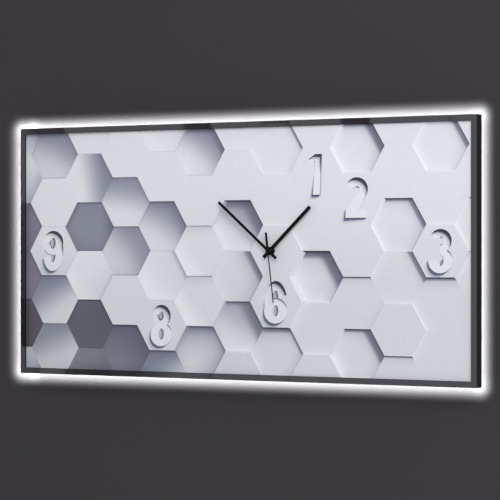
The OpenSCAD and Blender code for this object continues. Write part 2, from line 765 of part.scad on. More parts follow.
// Battery with its cap to the right, and the two contact strips
module battery() color("dimgray") on_arbor() translate([0, battery_y, battery_z]) rotate([0, 90, 0]) {
    translate([0, 0, -battery_len / 2]) cylinder(r = battery_r, h = battery_len - cap_len);
    cylinder(r = cap_r, h = battery_len / 2);
}
contact_x = battery_len / 2 + contact_gap;
contact_seat = case_wall - bay_half;
module contact(outline) color("silver") on_arbor()
    slab(battery_y - contact_w / 2, battery_y + contact_w / 2) polygon(outline);
module battery_contact_positive() contact([
    [contact_x, battery_z - contact_half], [contact_x + contact_t, battery_z - contact_half],
    [contact_x + contact_t, board_low], [contact_x, board_low]
]);
module battery_contact_negative() contact([
    [-contact_x, battery_z], [contact_seat + contact_t, battery_z + contact_half],
    [contact_seat + contact_t, bay_wall_z - bay_play],
    [contact_seat + contact_gap, bay_wall_z - bay_play],
    [contact_seat + contact_gap, battery_z + contact_half],
    [-contact_x - contact_t, battery_z],
    [contact_seat + contact_gap, battery_z - contact_half],
    [contact_seat + contact_t, battery_z - contact_half]
]);

// Circuit board on the cover's posts, with its chip and the crystal in a can
board_rear = cover_front - board_stand;
board_front = board_rear - board_t;
module circuit_board() color("darkgreen") on_arbor() {
    slab(board_front, board_rear) translate([board_left, board_low])
        square([board_right - board_left, board_high - board_low]);
    at(chip_pos) rod(chip_r, board_front - chip_t, board_front + eps);
}
module quartz_crystal() color("silver") on_arbor()
    translate([crystal_pos[0], board_front - crystal_r - core_gap, crystal_pos[1]]) rotate([0, 90, 0])
        cylinder(r = crystal_r, h = crystal_len);

// Step motor: a coil on its core, the stator plate and the magnet rotor
stator_rear = stator_front + stator_t;
core_mid = stator_rear + core_half / 2;
module stator() color("lightsteelblue") on_arbor() slab(stator_front, stator_rear) difference() {
    union() {
        translate([stator_left, stator_low]) square([stator_right - stator_left, stator_high - stator_low]);
        for (x = [stator_left, stator_right - lug_w]) translate([x, stator_low])
            square([lug_w, core_z + core_half - stator_low]);
    }
    translate(rotor_pos) circle(stator_hole_r);
}
module coil_core() color("slategray") on_arbor() slab(stator_rear, stator_rear + core_half)
    translate([stator_left, core_z - core_half]) square([stator_right - stator_left, 2 * core_half]);
module motor_coil() color("peru") on_arbor()
    translate([(stator_left + stator_right) / 2, core_mid, core_z]) difference() {
        rotate([0, 90, 0]) {
            cylinder(r = coil_r, h = coil_len - coil_flange_t, center = true);
            for (s = [-1, 1]) translate([0, 0, s * (coil_len - coil_flange_t) / 2])
                cylinder(r = coil_flange_r, h = coil_flange_t, center = true);
        }
        cube([coil_len + 2, core_half + 2 * core_gap, 2 * core_half + 2 * core_gap], center = true);
        translate([0, -stator_t, 0]) for (s = [-1, 1])
            translate([s * (stator_right - stator_left - lug_w) / 2, 0, 0])
                cube([lug_w + 2 * core_gap, stator_t + 2 * core_gap, 2 * coil_flange_r], center = true);
    }
arbor_rear = cover_front - pivot_end;
module rotor() color("gray") on_arbor() at(rotor_pos) {
    rod(pivot_r, rotor_boss_y - pivot_in, arbor_rear);
    rod(magnet_r, magnet_front, magnet_front + magnet_len);
    gear_slab(rotor_teeth, rotor_module, rotor_way + 180, layer(5) - pinion_lap,
        layer(5) + wheel_t + pinion_lap);
}

// Going train: fifth, second, third and centre wheels
module fifth_wheel() color("ivory") on_arbor() at(fifth_pos) {
    rod(pivot_r, fifth_boss_y - pivot_in, arbor_rear);
    gear_slab(fifth_teeth, rotor_module, rotor_way, layer(5), layer(5) + wheel_t, gap = true);
    gear_slab(fifth_pinion, fifth_module, fifth_way + 180, layer(4) - pinion_lap, layer(5) + eps);
}
module second_wheel() color("ivory") on_arbor() {
    rod(second_r, second_y - pipe_stand, arbor_rear);
    gear_slab(second_teeth, fifth_module, fifth_way, layer(4), layer(4) + wheel_t, gap = true);
    gear_slab(second_pinion, second_module, third_way, layer(3) - pinion_lap, layer(4) + eps);
}
module third_wheel() color("ivory") on_arbor() at(third_pos) {
    rod(pivot_r, third_boss_y - pivot_in, arbor_rear);
    gear_slab(third_teeth, second_module, third_way + 180, layer(3), layer(3) + wheel_t, gap = true);
    gear_slab(third_pinion, third_module, third_way + 180, layer(2) - pinion_lap, layer(3) + eps);
}
module centre_wheel() color("ivory") on_arbor() difference() {
    gear_slab(centre_teeth, third_module, third_way, layer(2), layer(2) + wheel_t, gap = true);
    rod(hour_bore_r, layer(2) - 1, layer(2) + wheel_t + 1);
}

// Motion work: the minute arbor slips in the centre wheel, so the knob can set the hands
minute_rear = layer(3) - pinion_lap - arbor_gap;
module minute_arbor() color("goldenrod") on_arbor() difference() {
    union() {
        rod(minute_r, minute_y - hand_t - pipe_stand, minute_rear);
        gear_slab(cannon_teeth, motion_module, motion_way, layer(1) - pinion_lap,
            layer(1) + wheel_t + pinion_lap, gap = true);
    }
    rod(minute_bore_r, minute_y - hand_t - 1, minute_rear + 1);
}
module minute_wheel() color("ivory") on_arbor() at(minute_pos) difference() {
    union() {
        gear_slab(minute_teeth, motion_module, motion_way + 180, layer(1), layer(1) + wheel_t);
        gear_slab(minute_pinion, hour_module, motion_way + 180, layer(0) - pivot_end, layer(1) + eps);
    }
    rod(post_r + run_gap, layer(0) - 1, layer(1) + wheel_t + 1);
}
module hour_wheel() color("ivory") on_arbor() difference() {
    union() {
        gear_slab(hour_teeth, hour_module, motion_way, layer(0), layer(0) + wheel_t, gap = true);
        rod(hour_r, hour_y - hand_t - pipe_stand, layer(0) + eps);
    }
    rod(hour_bore_r, hour_y - hand_t - 1, layer(0) + wheel_t + 1);
}
knob_front = case_rear + knob_gap;
module set_knob() color([0.75, 0.75, 0.72]) on_arbor() at(knob_pos) {
    gear_slab(knob_teeth, motion_module, motion_way + 180, layer(1), layer(1) + wheel_t, gap = true);
    rod(knob_pivot_r, case_floor + pivot_end, layer(1) + eps);
    rod(knob_shaft_r, layer(1) + wheel_t - eps, knob_front + eps);
    slab(knob_front, knob_front + knob_t) polygon([
        for (i = [0:2 * knob_flutes - 1])
        polar(knob_d / 2 - (i % 2) * flute_depth, i * 180 / knob_flutes)
    ]);
}

// Hands: plain straight bars on round bosses
module hand(w, tail, len) translate([-w / 2, -tail]) square([w, tail + len]);
module hour_hand() color([0.08, 0.08, 0.1]) on_arbor() slab(hour_y - hand_t, hour_y) rotate(-hour_at)
    difference() {
        union() {
            hand(hour_w, hour_tail, hour_len);
            circle(hour_r + boss_ring);
        }
        circle(hour_r + press_gap);
    }
module minute_hand() color([0.08, 0.08, 0.1]) on_arbor() slab(minute_y - hand_t, minute_y)
    rotate(-minute_at) difference() {
        union() {
            hand(minute_w, minute_tail, minute_len);
            circle(minute_r + boss_ring);
        }
        circle(minute_r + press_gap);
    }
module second_hand() color([0.08, 0.08, 0.1]) on_arbor() difference() {
    union() {
        slab(second_y - hand_t, second_y) rotate(-second_at) {
            hand(second_w, 0, second_len);
            hand(second_tail_w, second_tail, 0);
            circle(second_tail_w);
        }
        rod(second_r + second_boss_ring, second_y - eps, second_y + hand_pitch / 2 - pipe_stand);
    }
    rod(second_r + press_gap, second_y - pipe_stand - press_gap, second_y + hand_pitch);
}

frame_top_rail();
frame_bottom_rail();
frame_left_rail();
frame_right_rail();
corner_angles();
corner_screws();
dial_panel();
subframe_top_bar();
subframe_bottom_bar();
subframe_left_bar();
subframe_right_bar();
subframe_braces();
brace_screws();
hanger_plates();
hanger_screws();
wall_bumpers();
led_strip_top();
led_strip_left();
led_strip_right();
led_strip_bottom_left();
led_strip_bottom_right();
led_corner_clips();
led_chips();
dc_socket();
dc_centre_pin();
dc_socket_nut();
supply_lead_red();
supply_lead_black();
movement_case();
movement_cover();
threaded_bushing();
rubber_gasket();
dial_washer();
fixing_nut();
battery();
battery_contact_positive();
battery_contact_negative();
circuit_board();
quartz_crystal();
motor_coil();
coil_core();
stator();
rotor();
fifth_wheel();
second_wheel();
third_wheel();
centre_wheel();
minute_arbor();
minute_wheel();
hour_wheel();
set_knob();
hour_hand();
minute_hand();
second_hand();
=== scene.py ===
import json
import math

import bmesh
import bpy
import numpy as np
from mathutils import Matrix, Vector
from mathutils.bvhtree import BVHTree
from mathutils.geometry import delaunay_2d_cdt


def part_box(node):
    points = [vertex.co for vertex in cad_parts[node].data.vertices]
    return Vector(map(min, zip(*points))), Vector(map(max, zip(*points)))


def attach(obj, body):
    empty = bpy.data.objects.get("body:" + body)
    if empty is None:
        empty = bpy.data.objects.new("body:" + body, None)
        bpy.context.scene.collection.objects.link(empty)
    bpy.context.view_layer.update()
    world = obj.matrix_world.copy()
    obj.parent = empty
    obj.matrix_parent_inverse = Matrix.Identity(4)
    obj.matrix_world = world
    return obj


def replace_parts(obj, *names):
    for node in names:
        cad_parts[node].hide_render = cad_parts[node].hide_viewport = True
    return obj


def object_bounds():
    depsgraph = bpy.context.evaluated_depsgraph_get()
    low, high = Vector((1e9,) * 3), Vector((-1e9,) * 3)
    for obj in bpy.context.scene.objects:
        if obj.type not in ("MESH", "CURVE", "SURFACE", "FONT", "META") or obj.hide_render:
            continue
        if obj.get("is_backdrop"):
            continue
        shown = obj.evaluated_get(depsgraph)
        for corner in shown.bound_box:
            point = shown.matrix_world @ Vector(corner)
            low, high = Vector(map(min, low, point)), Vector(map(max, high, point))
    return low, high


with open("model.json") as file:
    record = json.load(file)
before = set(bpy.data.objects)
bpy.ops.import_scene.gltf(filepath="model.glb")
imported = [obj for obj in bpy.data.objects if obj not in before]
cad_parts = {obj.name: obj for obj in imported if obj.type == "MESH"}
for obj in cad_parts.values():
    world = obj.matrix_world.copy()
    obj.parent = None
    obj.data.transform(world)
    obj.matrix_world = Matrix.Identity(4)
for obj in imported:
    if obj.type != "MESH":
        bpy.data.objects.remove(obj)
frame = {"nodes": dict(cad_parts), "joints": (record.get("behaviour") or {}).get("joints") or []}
cad_low, cad_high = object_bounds()
scene = bpy.context.scene
nodes = frame["nodes"]
joint_at = {j["name"]: j["pos_m"] for j in frame["joints"]}

# Where things are, in metres
ROOT = "clock_body"
rail_low, rail_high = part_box("frame_top_rail")
left_low, left_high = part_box("frame_left_rail")
panel_low, panel_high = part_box("dial_panel")
HALF_W = rail_high.x
TOP = rail_high.z
FACE_Z = (left_low.z + left_high.z) / 2
HALF_H = TOP - FACE_Z
FRAME_FRONT, FRAME_REAR = rail_low.y, rail_high.y
PANEL_FRONT, PANEL_REAR = panel_low.y, panel_high.y
ARBOR_X = joint_at["minute_turn"][0]
LIP_W, LIP_T, WALL_T, FLANGE_W, FLANGE_T = 0.007, 0.002, 0.002, 0.010, 0.0015
RIM = 0.006
OPEN_W, OPEN_H = HALF_W - RIM, HALF_H - RIM
TILE = 0.034
TILE_X = ARBOR_X + 0.006
COLUMN, ROW = 1.5 * TILE, math.sqrt(3) * TILE
APOTHEM = TILE * math.sqrt(3) / 2
X, Y, Z = np.eye(3)


def linear(rgb):
    """A screen colour of 0 to 255 as linear light."""
    c = np.asarray(rgb, float) / 255.0
    return np.where(c <= 0.04045, c / 12.92, ((c + 0.055) / 1.055) ** 2.4)


def smooth(edge0, edge1, x):
    t = np.clip((x - edge0) / (edge1 - edge0), 0, 1)
    return t * t * (3 - 2 * t)


def mix(a, b, t):
    t = np.asarray(t)[..., None]
    return np.asarray(a, float) * (1 - t) + np.asarray(b, float) * t


def direction(degrees):
    return np.array([math.cos(math.radians(degrees)), math.sin(math.radians(degrees))])


def span(node):
    """The two far corners of a node's box."""
    return [np.array(v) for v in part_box(node)]


# Materials
def feed(node, inputs):
    """Sets a node's inputs: an output of another node is linked, anything else is a constant."""
    for name, value in inputs.items():
        if isinstance(value, bpy.types.NodeSocket):
            node.id_data.links.new(value, node.inputs[name])
        else:
            node.inputs[name].default_value = value
    return node


def add_node(tree, kind, inputs=None):
    return feed(tree.nodes.new("ShaderNode" + kind), inputs or {})


def new_material(name):
    m = bpy.data.materials.new(name)
    m.use_nodes = True
    tree = m.node_tree
    tree.nodes.clear()
    shader = add_node(tree, "BsdfPrincipled")
    out = add_node(tree, "OutputMaterial", {"Surface": shader.outputs["BSDF"]})
    return m, tree, shader, out


def noise(tree, scale, detail, stretch=(1, 1, 1), rough=0.55):
    coord = add_node(tree, "TexCoord")
    mapping = add_node(tree, "Mapping", {"Vector": coord.outputs["Object"], "Scale": stretch})
    tex = add_node(tree, "TexNoise", {"Vector": mapping.outputs["Vector"], "Scale": scale, "Detail": detail,
                                      "Roughness": rough})
    return tex.outputs["Fac"]


def ramp(tree, fac, stops):
    node = add_node(tree, "ValToRGB", {"Fac": fac})
    elements = node.color_ramp.elements
    while len(elements) < len(stops):
        elements.new(0.5)
    for element, (position, rgb) in zip(elements, stops):
        element.position = position
        element.color = (*[float(c) for c in rgb], 1.0)
    return node.outputs["Color"]


def spread(tree, fac, low, high):
    """Noise, which lies mostly between 0.3 and 0.7, stretched to a range of its own."""
    node = add_node(tree, "MapRange", {"Value": fac, "From Min": 0.3, "From Max": 0.7, "To Min": low,
                                       "To Max": high})
    return node.outputs["Result"]


def bump(tree, fac, strength, distance):
    node = add_node(tree, "Bump", {"Height": fac, "Strength": strength, "Distance": distance})
    return node.outputs["Normal"]


def surface(name, rgb, rough, metal=0.0, scale=400.0, vary=0.08, grain=0.00004, stretch=(1, 1, 1), coat=0.0,
            worn=None, specular=0.5):
    """A procedural surface: tone, gloss and a fine grain from noise of its own scale."""
    m, tree, shader, _ = new_material(name)
    dark, light = linear(rgb) * (1 - vary), np.minimum(linear(rgb) * (1 + vary), 1)
    fine = noise(tree, scale, 5.0, stretch)
    broad = noise(tree, scale / 14, 3.0, stretch)
    stops = [(0.25, dark), (0.75, light)]
    if worn is not None:
        stops = [(0.2, dark), (0.62, light), (0.9, linear(worn))]
    feed(shader, {"Base Color": ramp(tree, broad, stops), "Metallic": metal, "Specular IOR Level": specular,
                  "Roughness": spread(tree, fine, max(rough - 0.07, 0.02), min(rough + 0.07, 1)),
                  "Normal": bump(tree, fine, 0.35, grain)})
    if coat:
        feed(shader, {"Coat Weight": coat, "Coat Roughness": 0.12})
    return m


def toned(name, rough, scale, specular):
    """A printed surface: the mesh carries the picture's tone, painted shade and light included, and the
    fibre of the print lies over it.
    """
    m, tree, shader, _ = new_material(name)
    tone = add_node(tree, "Attribute")
    tone.attribute_name = "tone"
    fine = noise(tree, scale, 6.0)
    fleck = ramp(tree, noise(tree, scale / 6, 5.0), [(0.3, (0.965, 0.965, 0.97)), (0.7, (1, 1, 1))])
    blend = add_node(tree, "Mix")
    blend.data_type = "RGBA"
    blend.blend_type = "MULTIPLY"
    feed(blend, {"Factor": 1.0, "A": tone.outputs["Color"], "B": fleck})
    feed(shader, {"Base Color": blend.outputs["Result"], "Specular IOR Level": specular,
                  "Roughness": spread(tree, fine, rough - 0.06, rough + 0.06),
                  "Normal": bump(tree, fine, 0.3, 0.00003)})
    return m


def wood(name, stretch):
    m, tree, shader, _ = new_material(name)
    figure = noise(tree, 22.0, 6.0, stretch, 0.62)
    pores = noise(tree, 260.0, 3.0, stretch)
    stops = [(0.28, linear((176, 132, 84))), (0.45, linear((214, 175, 122))),
             (0.6, linear((226, 190, 140))), (0.78, linear((196, 152, 100)))]
    feed(shader, {"Base Color": ramp(tree, figure, stops), "Roughness": spread(tree, pores, 0.5, 0.72),
                  "Normal": bump(tree, pores, 0.5, 0.00012)})
    return m


def lamp_face(name):
    m, tree, shader, _ = new_material(name)
    glow = noise(tree, 700.0, 2.0)
    body = [(0.3, linear((250, 226, 150))), (0.7, linear((255, 238, 180)))]
    shine = [(0.3, (1.0, 0.93, 0.80)), (0.7, (1.0, 0.97, 0.90))]
    feed(shader, {"Base Color": ramp(tree, glow, body), "Emission Color": ramp(tree, glow, shine),
                  "Emission Strength": 2.5, "Roughness": spread(tree, glow, 0.25, 0.4),
                  "Normal": bump(tree, glow, 0.4, 0.00003)})
    return m


# The dial's print and the frame's paint carry painted shade and painted light in the tones of their meshes
PRINT_AND_PAINTED_SHADE = toned("dial_print_and_painted_shade", 0.6, 900.0, 0.25)
LIP = toned("frame_paint", 0.55, 1400.0, 0.05)
HAND = surface("hand_black", (9, 10, 14), 0.5, scale=900, grain=0.00001, vary=0.15, specular=0.14)
STEEL = surface("zinc_steel", (186, 188, 190), 0.34, metal=1.0, scale=500, vary=0.14, grain=0.00002,
                stretch=(1, 1, 6), worn=(206, 204, 196))
WOOD_X, WOOD_Z = wood("pine_across", (1.0, 9.0, 9.0)), wood("pine_upright", (9.0, 9.0, 1.0))
STRIP = surface("strip_white", (232, 232, 226), 0.45, scale=700, vary=0.03, coat=0.3)
LAMP = lamp_face("lamp_face")
CHIP = surface("chip_white", (238, 238, 232), 0.4, scale=900, vary=0.03)
PAD = surface("pad_copper", (196, 140, 84), 0.3, metal=1.0, scale=900, vary=0.12)
RESISTOR = surface("resistor_black", (30, 30, 32), 0.4, scale=1500, vary=0.15)
CLIP = surface("clip_white", (234, 234, 230), 0.4, scale=500, vary=0.03)
RUBBER = surface("rubber_black", (26, 26, 27), 0.82, scale=1100, vary=0.2, grain=0.00012)
SOCKET = surface("socket_black", (24, 24, 26), 0.5, scale=1300, vary=0.15, grain=0.00006)
BRASS = surface("turned_brass", (190, 150, 84), 0.28, metal=1.0, scale=900, vary=0.12, grain=0.00001,
                stretch=(1, 8, 1), worn=(150, 112, 60))
RED = surface("lead_red", (158, 26, 24), 0.45, scale=900, vary=0.12)
BLACK_LEAD = surface("lead_black", (22, 22, 23), 0.45, scale=900, vary=0.2)
TINNED = surface("lead_tinned", (196, 190, 182), 0.3, metal=1.0, scale=1500, vary=0.1)
CASE = surface("case_black", (34, 34, 37), 0.62, scale=1600, vary=0.16, grain=0.00011)
COVER = surface("cover_black", (40, 40, 43), 0.55, scale=1600, vary=0.16, grain=0.00009)
NUT = surface("nut_black", (13, 13, 16), 0.42, metal=0.2, scale=900, vary=0.2, worn=(30, 30, 34),
              specular=0.2)
SLEEVE = surface("battery_sleeve", (54, 58, 66), 0.32, scale=300, vary=0.05, coat=0.4)
SLEEVE_BAND = surface("battery_band", (176, 128, 74), 0.3, metal=0.7, scale=300, vary=0.05, coat=0.4)
BOARD = surface("board_green", (30, 96, 56), 0.35, scale=900, vary=0.15, coat=0.3)
COPPER = surface("copper_wire", (176, 96, 52), 0.35, metal=1.0, scale=700, vary=0.2, stretch=(12, 1, 1))
BOBBIN = surface("bobbin_ivory", (206, 196, 170), 0.45, scale=900, vary=0.05)
MOTOR_STEEL = surface("motor_steel", (150, 152, 156), 0.38, metal=1.0, scale=700, vary=0.12,
                      stretch=(6, 1, 1))
GEAR = surface("gear_ivory", (228, 222, 206), 0.4, scale=900, vary=0.04)
KNOB = surface("knob_grey", (150, 150, 146), 0.5, scale=1300, vary=0.06, grain=0.00006)
BACK = surface("panel_back", (206, 205, 200), 0.7, scale=700, vary=0.04, grain=0.0001)


# Ways to make a piece
def new_object(name, data):
    obj = bpy.data.objects.new(name, data)
    scene.collection.objects.link(obj)
    return obj


def place(name, mesh, body=ROOT):
    obj = new_object(name, mesh)
    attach(obj, body)
    return obj


MERGE = 1e-6
FLAT, SHARP = math.radians(0.5), math.radians(32)


def soften(node, width, material, slot, body=ROOT):
    """A copy of a solid with every sharp edge rounded, in place of it; the width is in millimetres."""
    mesh = bpy.data.meshes.new(node + "_soft")
    bm = bmesh.new()
    bm.from_mesh(nodes[node].data)
    bm.transform(nodes[node].matrix_world)
    bmesh.ops.remove_doubles(bm, verts=bm.verts, dist=MERGE)
    bmesh.ops.dissolve_limit(bm, angle_limit=FLAT, verts=bm.verts, edges=bm.edges)
    rounded = bm.faces.layers.int.new("rounded")
    sharp = [e for e in bm.edges if len(e.link_faces) == 2 and e.calc_face_angle(0) > SHARP]
    made = bmesh.ops.bevel(bm, geom=sharp, offset=width / 1000, offset_type="OFFSET", segments=2,
                           profile=0.5, affect="EDGES", clamp_overlap=False)
    for f in made["faces"]:
        f[rounded] = 1
    bmesh.ops.triangulate(bm, faces=[f for f in bm.faces if len(f.verts) > 4])
    # a point on a flat takes the flat's own normal, so that only the rounding is shaded as a curve
    normals = []
    for v in bm.verts:
        flats = [f for f in v.link_faces if not f[rounded]] or list(v.link_faces)
        total = sum((f.normal * max(f.calc_area(), 1e-12) for f in flats), Vector())
        normals.append(total.normalized() if total.length > 0 else v.normal.copy())
    bm.to_mesh(mesh)
    bm.free()
    mesh.materials.append(material)
    mesh.shade_smooth()
    mesh.normals_split_custom_set_from_vertices(normals)
    obj = place(node + "_soft", mesh, body)
    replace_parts(obj, node)
    return obj


CLEAR = 0.0005


def blacken(obj):
    """Blackens what stands clear in front of the dial, like the hands and the nut round it."""
    obj.data.materials.append(NUT)
    for p in obj.data.polygons:
        if p.center.y < PANEL_FRONT - CLEAR:
            p.material_index = 1


def islands(node):
    """The separate solids of a node, each as an array of its points."""
    data = nodes[node].data
    world = nodes[node].matrix_world
    parent = list(range(len(data.vertices)))

    def find(i):
        while parent[i] != i:
            parent[i] = parent[parent[i]]
            i = parent[i]
        return i

    seen = {}
    for v in data.vertices:
        near = tuple(round(c / MERGE) for c in v.co)
        if near in seen:
            parent[find(v.index)] = find(seen[near])
        seen[near] = v.index
    for e in data.edges:
        parent[find(e.vertices[0])] = find(e.vertices[1])
    groups = {}
    for v in data.vertices:
        groups.setdefault(find(v.index), []).append(world @ v.co)
    return [np.array(g) for g in groups.values()]


def circle(n):
    return [(math.cos(2 * math.pi * i / n), math.sin(2 * math.pi * i / n)) for i in range(n)]


def tube(rings, n, whole=False):
    """Faces from each ring of n points to the next; a whole one goes on from the last to the first."""
    faces = []
    for k in range(rings if whole else rings - 1):
        a, b = k * n, (k + 1) % rings * n
        faces += [(a + i, a + (i + 1) % n, b + (i + 1) % n, b + i) for i in range(n)]
    return faces


def caps(rings, n):
    """Faces that close the first and the last ring of a tube."""
    return [tuple(reversed(range(n))), tuple((rings - 1) * n + i for i in range(n))]


class Build:
    """Collects the points, faces, materials and printed tones of one piece."""

    def __init__(self):
        self.verts, self.faces, self.kinds, self.tones = [], [], [], []

    def add(self, verts, faces, kinds=0, tones=()):
        start = len(self.verts)
        self.verts.extend(tuple(map(float, v)) for v in verts)
        self.faces.extend(tuple(start + i for i in f) for f in faces)
        self.kinds.extend(kinds if isinstance(kinds, list) else [kinds] * len(faces))
        self.tones.extend(np.asarray(tones, float))

    def lathe(self, profile, centre, axis, side, kinds, n):
        """Turns (along, radius) pairs round an axis; kinds has one material for each step."""
        other = np.cross(axis, side)
        verts = [centre + axis * along + r * (side * c + other * s)
                 for along, r in profile for c, s in circle(n)]
        kinds = [kind for kind in kinds for _ in range(n)] + [kinds[0], kinds[-1]]
        self.add(verts, tube(len(profile), n) + caps(len(profile), n), kinds)

    def block(self, centre, x, y, z, half, edge, kind=0):
        """A block with its upper edges broken; z points away from what it lies on."""
        hx, hy, hz = half
        verts = [centre + x * sx * (hx - inset) + y * sy * (hy - inset) + z * up
                 for inset, up in ((0, -hz), (0, hz - edge), (edge, hz)) for sx, sy in rectangle(1, 1)]
        self.add(verts, tube(3, 4) + [(8, 9, 10, 11), (3, 2, 1, 0)], kind)

    def finish(self, name, materials, smooth_angle=35):
        mesh = bpy.data.meshes.new(name)
        mesh.from_pydata(self.verts, [], self.faces)
        mesh.update()
        for m in materials:
            mesh.materials.append(m)
        mesh.polygons.foreach_set("material_index", np.array(self.kinds, dtype=np.int32))
        if self.tones:
            rgba = np.ones((len(self.verts), 4), np.float32)
            rgba[:, :3] = linear(self.tones)
            mesh.attributes.new("tone", "FLOAT_COLOR", "POINT").data.foreach_set("color", rgba.ravel())
        if smooth_angle is not None:
            mesh.shade_smooth()
            mesh.set_sharp_from_angle(angle=math.radians(smooth_angle))
        return place(name, mesh)


# Outlines in the face's plane
def rectangle(w, h):
    return [(-w, -h), (w, -h), (w, h), (-w, h)]


def closed(pts):
    """The edges of a closed loop of points."""
    return zip(pts, np.roll(pts, -1, axis=0))


def outward(p, q):
    """The unit normal of an edge, on its right-hand side."""
    n = np.array([q[1] - p[1], p[0] - q[0]])
    return n / max(np.linalg.norm(n), 1e-12)


def divide(p, q, n):
    """Points from one end of an edge to the other, in n steps."""
    return [p + (q - p) * i / n for i in range(n + 1)]


def steps_in(p, q, gap):
    return max(1, int(np.linalg.norm(q - p) / gap))


def clip(poly, normal, limit, label):
    """Cuts a convex outline of (point, edge label) to the side where normal . p <= limit."""
    out = []
    for (p, lab), (q, _) in zip(poly, poly[1:] + poly[:1]):
        a, b = np.dot(normal, p) - limit, np.dot(normal, q) - limit
        if a <= 0:
            out.append((p, lab))
        if (a < 0 < b) or (b < 0 < a):
            x = p + (q - p) * (a / (a - b))
            out.append((x, label if a < 0 else lab))
        elif a == 0 and b > 0:
            out[-1] = (p, label)
    return out


def labelled(poly):
    """The edges of an outline by their label, each as its two ends."""
    return {lab: (p, q) for (p, lab), (q, _) in zip(poly, poly[1:] + poly[:1])}


def points_of(poly):
    return np.array([p for p, _ in poly])


def within(poly, pts, margin):
    keep = np.ones(len(pts), bool)
    for p, q in closed(poly):
        keep &= (pts - p) @ outward(p, q) < -margin
    return keep


def grid_points(low, high, gap):
    """Points of a triangular grid over a rectangle."""
    rows = []
    for i, z in enumerate(np.arange(low[1], high[1] + gap, gap * 0.866)):
        xs = np.arange(low[0] + (gap / 2 if i % 2 else 0), high[0] + gap, gap)
        rows.append(np.column_stack([xs, np.full(len(xs), z)]))
    return np.vstack(rows)


# The honeycomb: tiles by column and row, their outline cut to the dial's opening, their depth from the panel
EDGE_WAY = [direction(60 * e + 30) for e in range(6)]
SMALLEST = 2e-6
panel = nodes["dial_panel"].data
panel_tree = BVHTree.FromPolygons([v.co for v in panel.vertices], [p.vertices for p in panel.polygons])


def neighbour(k, j, edge):
    lift = k % 2
    return [(k + 1, j + lift), (k, j + 1), (k - 1, j + lift),
            (k - 1, j + lift - 1), (k, j - 1), (k + 1, j + lift - 1)][edge]


tiles = {}
for k in range(-8, 7):
    for j in range(-4, 5):
        c = np.array([TILE_X + COLUMN * k, ROW * (j + k % 2 / 2)])
        outline = [(c + TILE * direction(60 * i), i) for i in range(6)]
        for n, limit in (((1, 0), OPEN_W), ((-1, 0), OPEN_W), ((0, 1), OPEN_H), ((0, -1), OPEN_H)):
            outline = clip(outline, np.array(n, float), limit, -1)
        if len(outline) < 3:
            continue
        pts = points_of(outline)
        x, z = pts[:, 0], pts[:, 1]
        if 0.5 * np.sum(x * np.roll(z, -1) - z * np.roll(x, -1)) < SMALLEST:
            continue
        mid = pts.mean(0)
        ahead = Vector((mid[0], FRAME_FRONT - 0.05, FACE_Z + mid[1]))
        hit = panel_tree.ray_cast(ahead, Vector((0, 1, 0)))[0]
        tiles[k, j] = {"c": c, "outline": outline, "deep": round((hit.y - PANEL_FRONT) * 1e4) / 10}
DEEPEST = max(t["deep"] for t in tiles.values())
COMMON = 1.0


def tile_y(deep):
    return PANEL_FRONT + deep / 1000


def at_depth(p, y):
    return (p[0], y, FACE_Z + p[1])


def tile_at(p):
    """The tile that a point of the face lies in."""
    k = (p[0] - TILE_X) / COLUMN
    near = []
    for kk in (math.floor(k), math.ceil(k)):
        j = p[1] / ROW - kk % 2 / 2
        near += [(kk, jj) for jj in (math.floor(j), math.ceil(j)) if (kk, jj) in tiles]
    return min(near, key=lambda key: np.linalg.norm(p - tiles[key]["c"]), default=None)


def rises_round(key, beyond):
    """How far each neighbour stands above a tile, in mm; past the last tile the depth is beyond."""
    beside = [tiles.get(neighbour(*key, edge)) for edge in range(6)]
    return [tiles[key]["deep"] - (beyond if other is None else other["deep"]) for other in beside]


# The picture's tones, as screen colours: the print's pale tone, painted light and painted shade of the
# relief; where there are two they are the lower and the upper one
PAINTED_LIGHT_LEFT, PAINTED_LIGHT = (232, 234, 240), (244, 246, 250)
PALE_LEFT, PALE_RIGHT = ((193, 196, 206), (225, 227, 236)), ((214, 217, 224), (228, 231, 238))
SHADED, BAND_SHADOW = (111, 116, 140), (100, 103, 121)
DEEP_SHADE, DEEP_SHADE_RIGHT = ((93, 94, 108), (138, 143, 160)), (99, 100, 118)
PURPLE_SHADE = ((95, 89, 99), (136, 129, 148))
WALL_LIT, WALL_SHADE_LEFT, WALL_SHADE = (246, 247, 250), (116, 120, 142), (84, 87, 102)
FIGURE_SHADE, FIGURE_DEEP_SHADE, HOLE_SHADE_TONE = (98, 108, 138), (60, 64, 80), (80, 84, 102)
RIM_TONE, BACK_TONE = (214, 217, 224), (206, 205, 200)
# Sunk tiles with painted shade right across: the way their dark side looks, and how dark it gets
ACROSS = {
    (-6, -1): (126, 0.95), (-6, -2): (112, 0.85), (-6, 2): (62, 0.80), (-5, 2): (100, 0.05),
    (-5, 1): (8, 0.92), (-4, 1): (85, 0.80), (-4, 0): (38, 0.78), (-3, 0): (58, 0.80), (-2, 2): (50, 0.88),
    (-1, 0): (55, 0.72), (-1, -2): (62, 0.55), (-3, -3): (122, 0.92), (-5, -1): (300, 0.10),
    (-3, -1): (40, 0.08),
}
# Plain tiles on the left with painted light along their lower left
PAINTED_GLOW_TILES = {(-5, -1), (-3, -1), (-2, -1), (-2, 0), (-3, 2)}
# How much of a floor a higher tile beyond its upper right edge hides, for each millimetre of height
HIDDEN = 0.46
# Tiles deeper than SUNK, left of FAR_LEFT, get a purple painted shade; left of EDGED_TO, what lies past the
# opening counts as a tile of the common depth
FAR_LEFT, SUNK, EDGED_TO = -0.29, 4.6, 0.2


def rightness(u):
    return smooth(-0.17, 0.10, u)


def light_way(u):
    """The painted light comes from the upper right, lower on the left part of the picture."""
    return direction(40 + 7 * float(rightness(u)))


def pale(u, v):
    """Tone of a plain tile: paler to the right and to the top."""
    left = mix(*PALE_LEFT, smooth(-0.09, 0.09, v))
    right = mix(*PALE_RIGHT, smooth(-0.08, 0.10, v))
    return mix(left, right, rightness(u))


